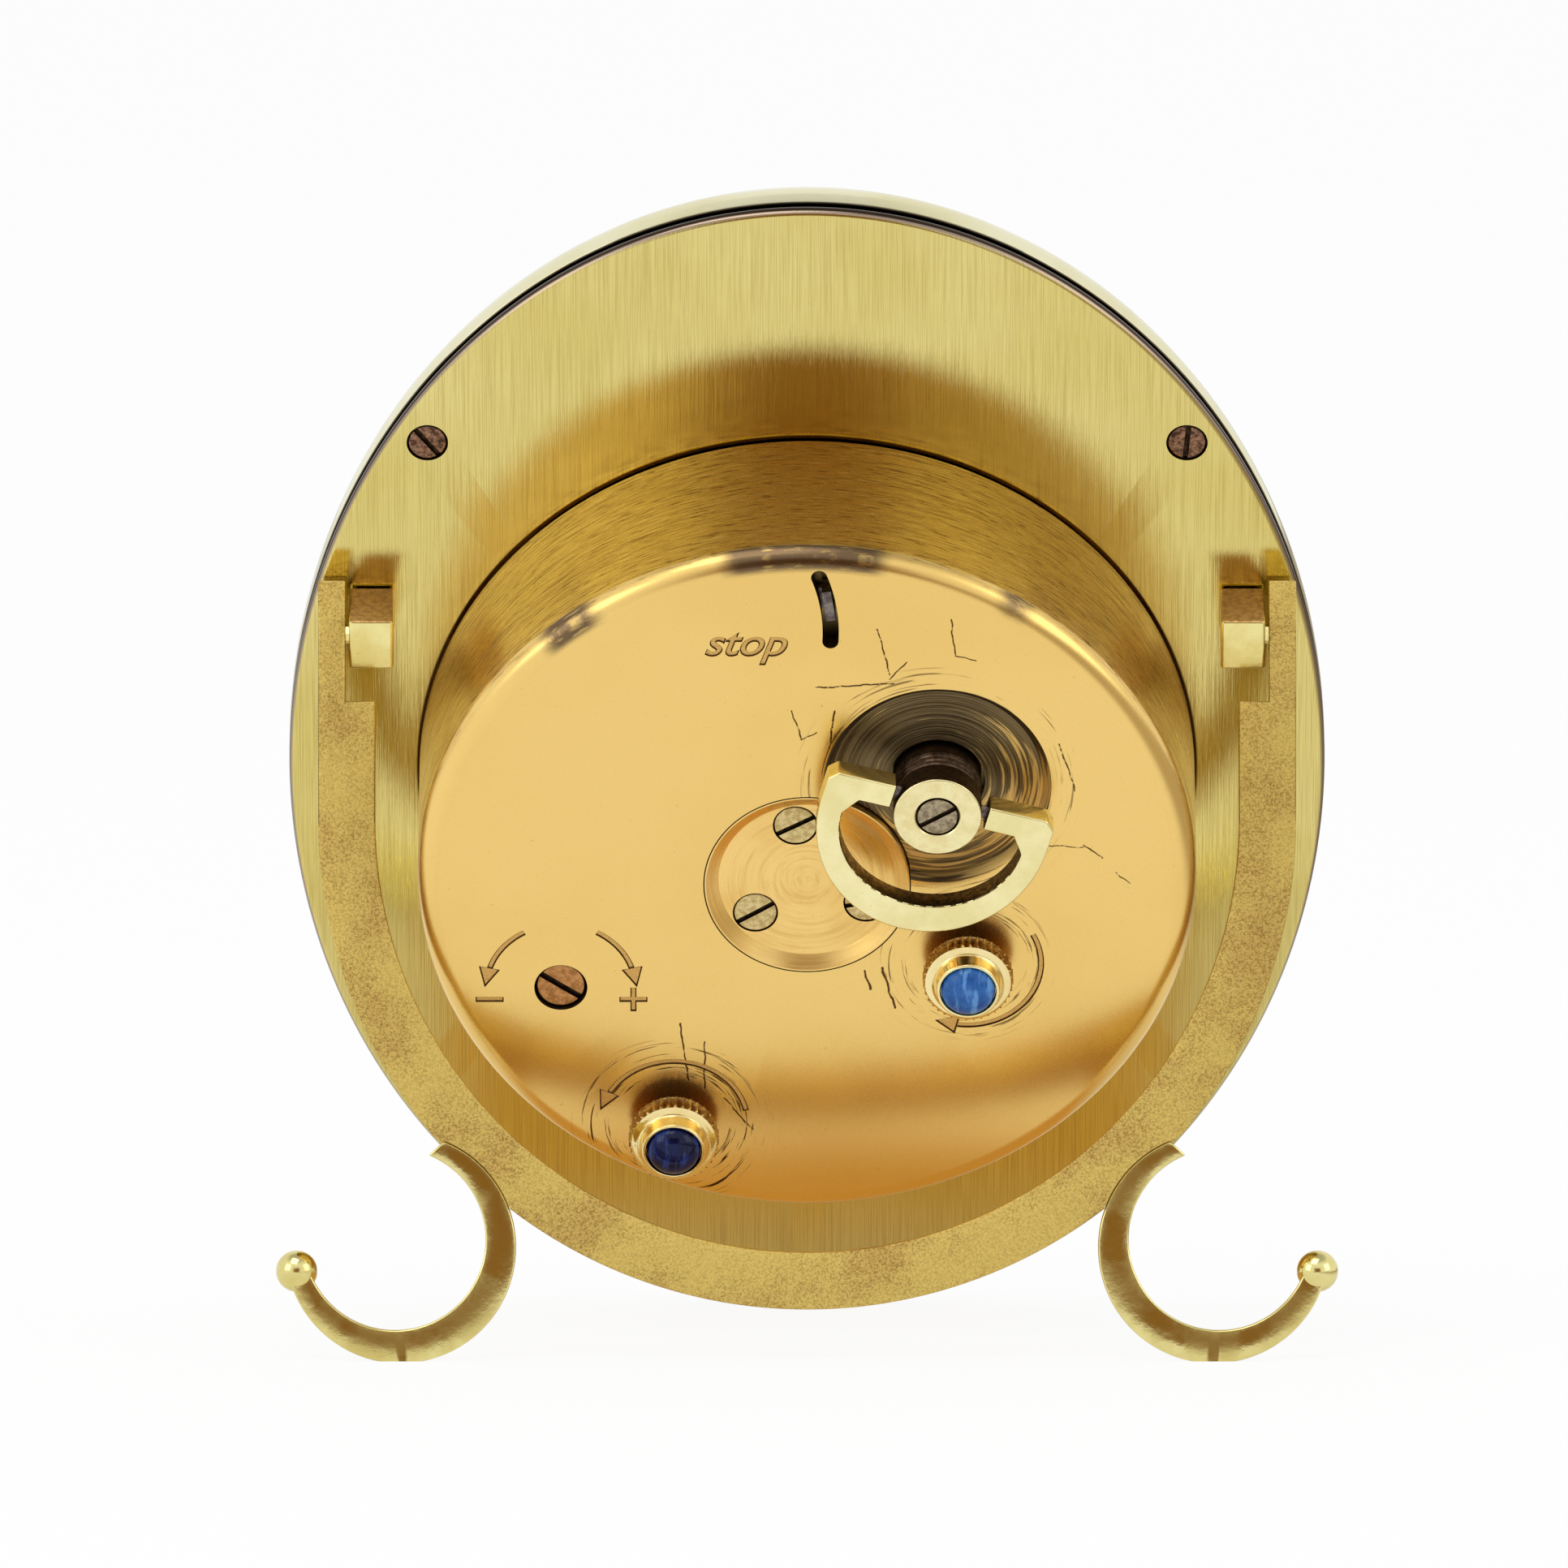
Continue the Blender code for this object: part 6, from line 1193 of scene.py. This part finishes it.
def make_key_stem():
    """Ribbed stem of the key, with a bright hub and a well for its screw."""
    well = KEY_SCREW_RADIUS + 0.15 * MM
    seat = KEY_TOP - 0.7 * MM
    corner = KEY_RADIUS - KEY_EDGE
    profile = [(0, seat), (well, seat), (well, KEY_TOP - 0.08 * MM), (well + 0.08 * MM, KEY_TOP)]
    profile += [(corner, KEY_TOP), *round_over((corner, KEY_TOP - KEY_EDGE), KEY_EDGE, 80, 0, 5)]
    for i in range(3):
        top = KEY_RIBS_TOP - i * KEY_RIB_PITCH
        for share, depth in KEY_RIB:
            profile.append((KEY_RADIUS - KEY_RIB_DEPTH * depth, top - KEY_RIB_PITCH * share))
    profile += [(KEY_RADIUS, KEY_RIBS_TOP - 3 * KEY_RIB_PITCH), (KEY_RADIUS, KEY_LOW), (0, KEY_LOW)]
    bm = turned(profile, 96)
    for face in bm.faces:
        if face.calc_center_median().z > KEY_TOP - 0.1 * MM:
            face.material_index = 1
    new_piece("key_stem_ribbed", bm, KEY, "key", ("dark_steel", STEM_FINISH, HUB_FINISH), ["key_stem"], 25)


def half_disc(width, height, centre_y, top, top_width, steps=96):
    """A flat lower half oval, its straight side drawn up to a top edge of its own width."""
    bm = bmesh.new()
    bmesh.ops.create_circle(bm, cap_ends=True, radius=1, segments=steps)
    plane = {"plane_co": ORIGIN, "plane_no": (0, 1, 0)}
    bmesh.ops.bisect_plane(bm, geom=all_parts(bm), dist=1e-6, clear_outer=True, **plane)
    bmesh.ops.scale(bm, vec=(width, height, 1), verts=bm.verts)
    straight = [e for e in bm.edges if all(abs(v.co.y) < MERGE for v in e.verts)]
    raised = verts_of(bmesh.ops.extrude_edge_only(bm, edges=straight)["geom"])
    bmesh.ops.scale(bm, vec=(top_width / width, 1, 1), verts=raised)
    move(bm, (0, top - centre_y, 0), raised)
    move(bm, (0, centre_y, 0), bm.verts)
    return bm


def make_key_bow():
    """D-shaped bow whose bar is open in the middle, where the stem stands."""
    place = at(BOW, y=-BOW_PIVOT_DROP)
    half = BOW_THICKNESS / 2
    bm = half_disc(BOW_HALF_WIDTH, BOW_HEIGHT, BOW_CENTRE, BOW_TOP, BOW_HALF_WIDTH)
    thicken(bm, -half, half)
    ends = [e for e in bm.edges if all(v.co.y > BOW_TOP - 0.1 * MM for v in e.verts)]
    corners = [e for e in ends if abs(e.verts[0].co.z - e.verts[1].co.z) > half]
    chamfer = {"offset": BOW_CORNER, "affect": "EDGES", "segments": 1, "profile": 0.5, "material": -1}
    bmesh.ops.bevel(bm, geom=corners, **chamfer)
    piece = new_piece("key_bow_polished", bm, place, "bow", ("pale_brass", BOW_FINISH), ["key_bow"], 35)
    hollow = thicken(half_disc(*BOW_HOLLOW), -2 * half, 2 * half)
    opening = box((-BOW_OPENING, -2 * MM, -2 * half), (BOW_OPENING, 3 * MM, 2 * half))
    carve(piece, (hollow, place, BOW_SIDE_FINISH), (opening, place, BOW_SIDE_FINISH))
    reshape(piece, lambda shape: soften(shape, 0.16 * MM))


def make_crown(name, place, stone, stone_slot, body):
    """Crown with a V-knurled edge, a bright flange and a collar round its domed stone."""
    outer, collar, edge, skirt = CROWN_RADIUS, CROWN_COLLAR_RADIUS, CROWN_EDGE, CROWN_SKIRT_TOP
    seat = STONE_RADIUS + 0.02 * MM
    profile = [(1.3 * MM, CROWN_FRONT + 0.2 * MM), (1.5 * MM, CROWN_FRONT), (outer - 0.15 * MM, CROWN_FRONT)]
    knurled = [(outer, CROWN_FRONT + 0.1 * MM), (outer, skirt - 0.2 * MM)]
    profile += [*knurled, (2.1 * edge + CROWN_FLANGE, skirt - edge), (CROWN_FLANGE, skirt)]
    profile += [(CROWN_FLANGE - 0.1 * MM, skirt + 0.6 * edge), (CROWN_HOLLOW, skirt + edge)]
    profile += round_over((CROWN_HOLLOW, skirt + 0.35 * MM), 0.3 * MM, 270, 190, 6)
    profile.append((collar + 0.1 * MM, CROWN_TOP - 0.5 * MM))
    profile += round_over((collar - CROWN_LIP, CROWN_TOP - CROWN_LIP), CROWN_LIP, 0, 130, 6)
    profile += [(seat, CROWN_TOP - 0.2 * MM), (seat, STONE_FOOT)]
    bm = lofted([(r, r, z) for r, z in profile], 4 * KNURLS, False)
    for _, z in knurled:
        row = [v for v in bm.verts if abs(v.co.z - z) < MERGE]
        row.sort(key=lambda v: math.atan2(v.co.y, v.co.x))
        bmesh.ops.scale(bm, vec=(KNURL_VALLEY, KNURL_VALLEY, 1), verts=row[::4])
        bmesh.ops.scale(bm, vec=(KNURL_FLANK, KNURL_FLANK, 1), verts=row[1::4] + row[3::4])
    for face in bm.faces:
        if face.calc_center_median().z < skirt - 0.1 * MM:
            face.material_index = 1
    finish = ("polished_brass", CROWN_FINISH, KNURL_FINISH)
    new_piece(f"{name}_crown_knurled", bm, at(CASE, *place), body, finish, [f"{name}_crown"], 25)
    gem = bmesh.new()
    bmesh.ops.create_uvsphere(gem, u_segments=64, v_segments=40, radius=1)
    bmesh.ops.scale(gem, vec=(STONE_RADIUS, STONE_RADIUS, STONE_HEIGHT), verts=gem.verts)
    keep_above(gem)
    finish, foot = (stone_slot, stone), at(CASE, *place, STONE_FOOT)
    new_piece(f"{name}_cabochon_domed", gem, foot, body, finish, [f"{name}_cabochon"], 60)


def make_lugs():
    half = LUG_LENGTH / 2
    finish = ("polished_brass", LUG_FINISH, LUG_TOP_FINISH)
    for side, way in SIDES:
        near, far = sorted((way * LUG_INNER, way * (LUG_INNER + LUG_WIDTH)))
        bm = box((near, -half, CAN_SEAT), (far, half, LUG_HEIGHT))
        soften(bm, 0.22 * MM, 4)
        for face in bm.faces:
            if face.normal.y > 0.7:
                face.material_index = 1
        name = f"hinge_lug_{side}"
        new_piece(f"{name}_rounded", bm, at(CASE, 0, PIVOT_Y), "case", finish, [name], 50)


def faces_at(bm, axis, level):
    """The faces that lie wholly in the plane at a level of one axis."""
    return [f for f in bm.faces if all(abs(v.co[axis] - level) < MERGE for v in f.verts)]


def raise_end(bm, start, end, inside=0.0):
    """Draws the end face at one height, beyond the inside limit, up to another height."""
    face = [f for f in faces_at(bm, 1, start) if f.calc_center_median().x > inside]
    made = bmesh.ops.extrude_face_region(bm, geom=face)["geom"]
    move(bm, (0, end - start, 0), verts_of(made))


def make_strut():
    """Half of the horseshoe is swept and drawn up into an arm, then mirrored."""
    half = STRUT_THICKNESS / 2
    inner = STRUT_RADIUS - STRUT_WIDTH
    section = [(inner, -half), (STRUT_RADIUS, -half), (STRUT_RADIUS, half), (inner, half)]
    bm = swept(section, -math.pi / 2, 0, 96, (0, -PIVOT_Y, 0))
    bmesh.ops.remove_doubles(bm, verts=bm.verts, dist=MERGE)
    bmesh.ops.delete(bm, geom=faces_at(bm, 0, 0), context="FACES_ONLY")
    raise_end(bm, -PIVOT_Y, STRUT_STEP)
    cap = faces_at(bm, 1, STRUT_STEP)
    parts = cap + [e for f in cap for e in f.edges] + [v for f in cap for v in f.verts]
    bmesh.ops.bisect_plane(bm, geom=parts, dist=MERGE, plane_co=(ARM_INNER, 0, 0), plane_no=(1, 0, 0))
    raise_end(bm, STRUT_STEP, STRUT_HEAD, ARM_INNER)
    bmesh.ops.mirror(bm, geom=all_parts(bm), axis="X", merge_dist=2 * MERGE)
    soften(bm, 0.13 * MM)
    piece = new_piece("strut_ring_cast", bm, STRUT, "strut", ("cast_gilt", STRUT_FINISH), ["strut_ring"], 35)
    x, y = polar(FOOT_OFFSET, FOOT_OFFSET_ANGLE, FOOT_PLACE)
    for way in (-1, 1):
        notch = drum(FOOT_OUTER + FOOT_GAP, -3 * MM, 3 * MM, ROUND_STEPS)
        carve(piece, (notch, at(STRUT, way * x, y), STRUT_FINISH))


def make_feet():
    """Crescent scrolls with a ball on the free end."""
    outer = polar(FOOT_OFFSET, FOOT_OFFSET_ANGLE)
    sweep = FOOT_END - FOOT_START
    for side, way in SIDES:
        bm = bmesh.new()
        for radius, centre in ((FOOT_OUTER, outer), (FOOT_INNER, (0, 0))):
            start = bm.verts.new((*polar(radius, FOOT_START, centre), 0))
            bmesh.ops.spin(bm, geom=[start], cent=(*centre, 0), axis=UPWARD, angle=sweep, steps=96)
        bmesh.ops.bridge_loops(bm, edges=bm.edges[:])
        thicken(bm, -FOOT_THICKNESS / 2, FOOT_THICKNESS / 2)
        soften(bm, 0.14 * MM, 3, 50)
        ball = bmesh.new()
        bmesh.ops.create_uvsphere(ball, u_segments=40, v_segments=28, radius=FOOT_BALL)
        merge(bm, ball, Matrix.Translation((*polar((FOOT_INNER + FOOT_OUTER) / 2, FOOT_END), 0)))
        if way < 0:
            bmesh.ops.scale(bm, vec=(-1, 1, 1), verts=bm.verts)
            bmesh.ops.reverse_faces(bm, faces=bm.faces)
        place = at(STRUT, way * FOOT_PLACE[0], FOOT_PLACE[1])
        finish = ("polished_brass", FOOT_FINISH)
        piece = new_piece(f"foot_{side}_scroll", bm, place, "strut", finish, [f"foot_{side}"], 35)
        reshape(piece, keep_above)


def dress_kept_nodes():
    """CAD nodes that keep their own shape get a procedural finish."""
    finishes = dict.fromkeys(STEEL_NODES, STEEL_FINISH)
    finishes |= dict.fromkeys(("hinge_pin_left", "hinge_pin_right"), LUG_FINISH)
    finishes |= dict.fromkeys(("minute_hand", "hour_hand", "hairspring"), BLUED)
    for name, node in frame["nodes"].items():
        if not node.hide_render:
            node.data.materials.clear()
            node.data.materials.append(finishes.get(name, INSIDE_FINISH))


def background_rays(tree):
    """One for the rays that see the background: straight, mirrored or through glass."""
    rays = add(tree, "ShaderNodeLightPath").outputs
    return rays["Is Camera Ray"], calc(tree, "MAXIMUM", rays["Is Glossy Ray"], rays["Is Transmission Ray"])


def make_floor():
    """Wide pale floor, lit like paper, which straight and mirrored rays see whiter than it is.

    Mirrored rays also find a painted shadow beneath the clock, brown with the clock's warm bounce light, a
    duller side and a dim room far behind it.
    Distances are in metres from the middle of the floor.
    """
    bm = bmesh.new()
    bmesh.ops.create_grid(bm, x_segments=1, y_segments=1, size=30)
    mesh = bpy.data.meshes.new("studio_floor")
    bm.to_mesh(mesh)
    bm.free()
    floor = new_object("studio_floor", mesh)
    material = bpy.data.materials.new("studio floor")
    material.use_nodes = True
    tree = material.node_tree
    tree.nodes.clear()
    straight, mirrored = background_rays(tree)
    side, depth, _ = axes_of(tree, add(tree, "ShaderNodeTexCoord").outputs["Object"])
    width = calc(tree, "ABSOLUTE", side)
    near = times(tree, ramp(tree, depth, -0.03, -0.01), ramp(tree, width, 0.037, 0.026))
    # Painted shadow beneath the clock, brown with its warm bounce light; only mirrored rays see it
    under = times(tree, near, ramp(tree, depth, 0.015, 0.0105))
    ahead = ramp(tree, calc(tree, "DIVIDE", width, calc(tree, "MAXIMUM", depth, 0.01)), 0.44, 0.18)
    dim = times(tree, ramp(tree, depth, 0.2, 0.5), ahead)
    tint = mixed(tree, under, (0.96, 0.96, 0.96), (0.64, 0.40, 0.14))
    tint = mixed(tree, ramp(tree, side, -0.05, -0.11), tint, (0.50, 0.44, 0.36))
    tint = mixed(tree, dim, tint, DIM_ROOM)
    paper = mixed(tree, mirrored, (0.9, 0.9, 0.9), tint)
    diffuse = add(tree, "ShaderNodeBsdfDiffuse", {"Color": paper}).outputs[0]
    white = add(tree, "ShaderNodeEmission", {"Color": mixed(tree, mirrored, WHITE, tint)}).outputs[0]
    # Near the clock the mirrored floor is mostly glow, so the painted shadow stands in for the real one there
    lifted = calc(tree, "MAXIMUM", ramp(tree, depth, 0.08, 0.16), times(tree, near, 0.8))
    share = calc(tree, "MAXIMUM", times(tree, straight, 0.92), times(tree, lifted, mirrored))
    mix = add(tree, "ShaderNodeMixShader", {0: share, 1: diffuse, 2: white}).outputs[0]
    add(tree, "ShaderNodeOutputMaterial", {"Surface": mix})
    mesh.materials.append(material)


def make_world():
    """Even studio light. Mirrored rays find the room dim low down on the camera's side and overhead."""
    world = bpy.data.worlds.new("studio")
    bpy.context.scene.world = world
    world.use_nodes = True
    tree = world.node_tree
    tree.nodes.clear()
    side, depth, height = axes_of(tree, add(tree, "ShaderNodeTexCoord").outputs["Generated"])
    low = ramp(tree, height, 0.5, 0.28)
    ahead = ramp(tree, calc(tree, "ABSOLUTE", side), 0.42, 0.18)
    behind = times(tree, ramp(tree, depth, 0.1, 0.6), ahead, low)
    overhead = ramp(tree, height, 0.7, 0.95, 0.95, 0.5)
    grey = add(tree, "ShaderNodeCombineColor", {0: overhead, 1: overhead, 2: overhead}).outputs[0]
    room = mixed(tree, behind, grey, DIM_ROOM)
    straight, mirrored = background_rays(tree)
    even = mixed(tree, straight, (0.78, 0.78, 0.78), WHITE)
    light = add(tree, "ShaderNodeBackground", {"Color": mixed(tree, mirrored, even, room)}).outputs[0]
    add(tree, "ShaderNodeOutputWorld", {"Surface": light})


def make_lamp(name, place, width, power):
    data = bpy.data.lights.new(name, "AREA")
    data.shape, data.size, data.energy = "SQUARE", width, power
    lamp = new_object(name, data)
    lamp.location = place
    lamp.rotation_euler = (Vector(LAMP_TARGET) - Vector(place)).to_track_quat("-Z", "Y").to_euler()


def make_camera():
    """Camera behind the clock, a little above it, with a long lens."""
    towards = Vector((0, math.cos(CAMERA_RISE), math.sin(CAMERA_RISE)))
    up = Vector((0, -math.sin(CAMERA_RISE), math.cos(CAMERA_RISE)))
    target = CASE @ Vector((0, 0, CAN_DEPTH)) + Vector((AIM_ASIDE, 0, 0)) + up * AIM_UP
    data = bpy.data.cameras.new("camera")
    data.sensor_width = SENSOR_WIDTH
    data.lens = SENSOR_WIDTH * CAMERA_DISTANCE / VIEW_WIDTH
    data.clip_start, data.clip_end = 0.01, 100
    camera = new_object("camera", data)
    camera.location = target + towards * CAMERA_DISTANCE
    camera.rotation_euler = (-towards).to_track_quat("-Z", "Y").to_euler()
    bpy.context.scene.camera = camera


make_back_plate()
make_case_band()
make_crystal()
make_dial()
make_dial_print()
make_can()
make_cap()
make_screws()
make_key_stem()
make_key_bow()
make_crown("time", TIME_CROWN, LIGHT_STONE, "light_blue_stone", "time_setting")
make_crown("alarm", ALARM_CROWN, DARK_STONE, "dark_blue_stone", "alarm_setting")
make_lugs()
make_strut()
make_feet()
dress_kept_nodes()
make_floor()
make_world()
make_lamp("overhead softbox", (0.25, 0.5, 1.1), 0.7, 3.0)
make_lamp("left softbox", (0.9, 0.6, 0.45), 0.6, 1.5)
make_lamp("right softbox", (-0.9, 0.5, 0.45), 0.6, 1.2)
make_camera()

view = bpy.context.scene.view_settings
view.view_transform = "Standard"
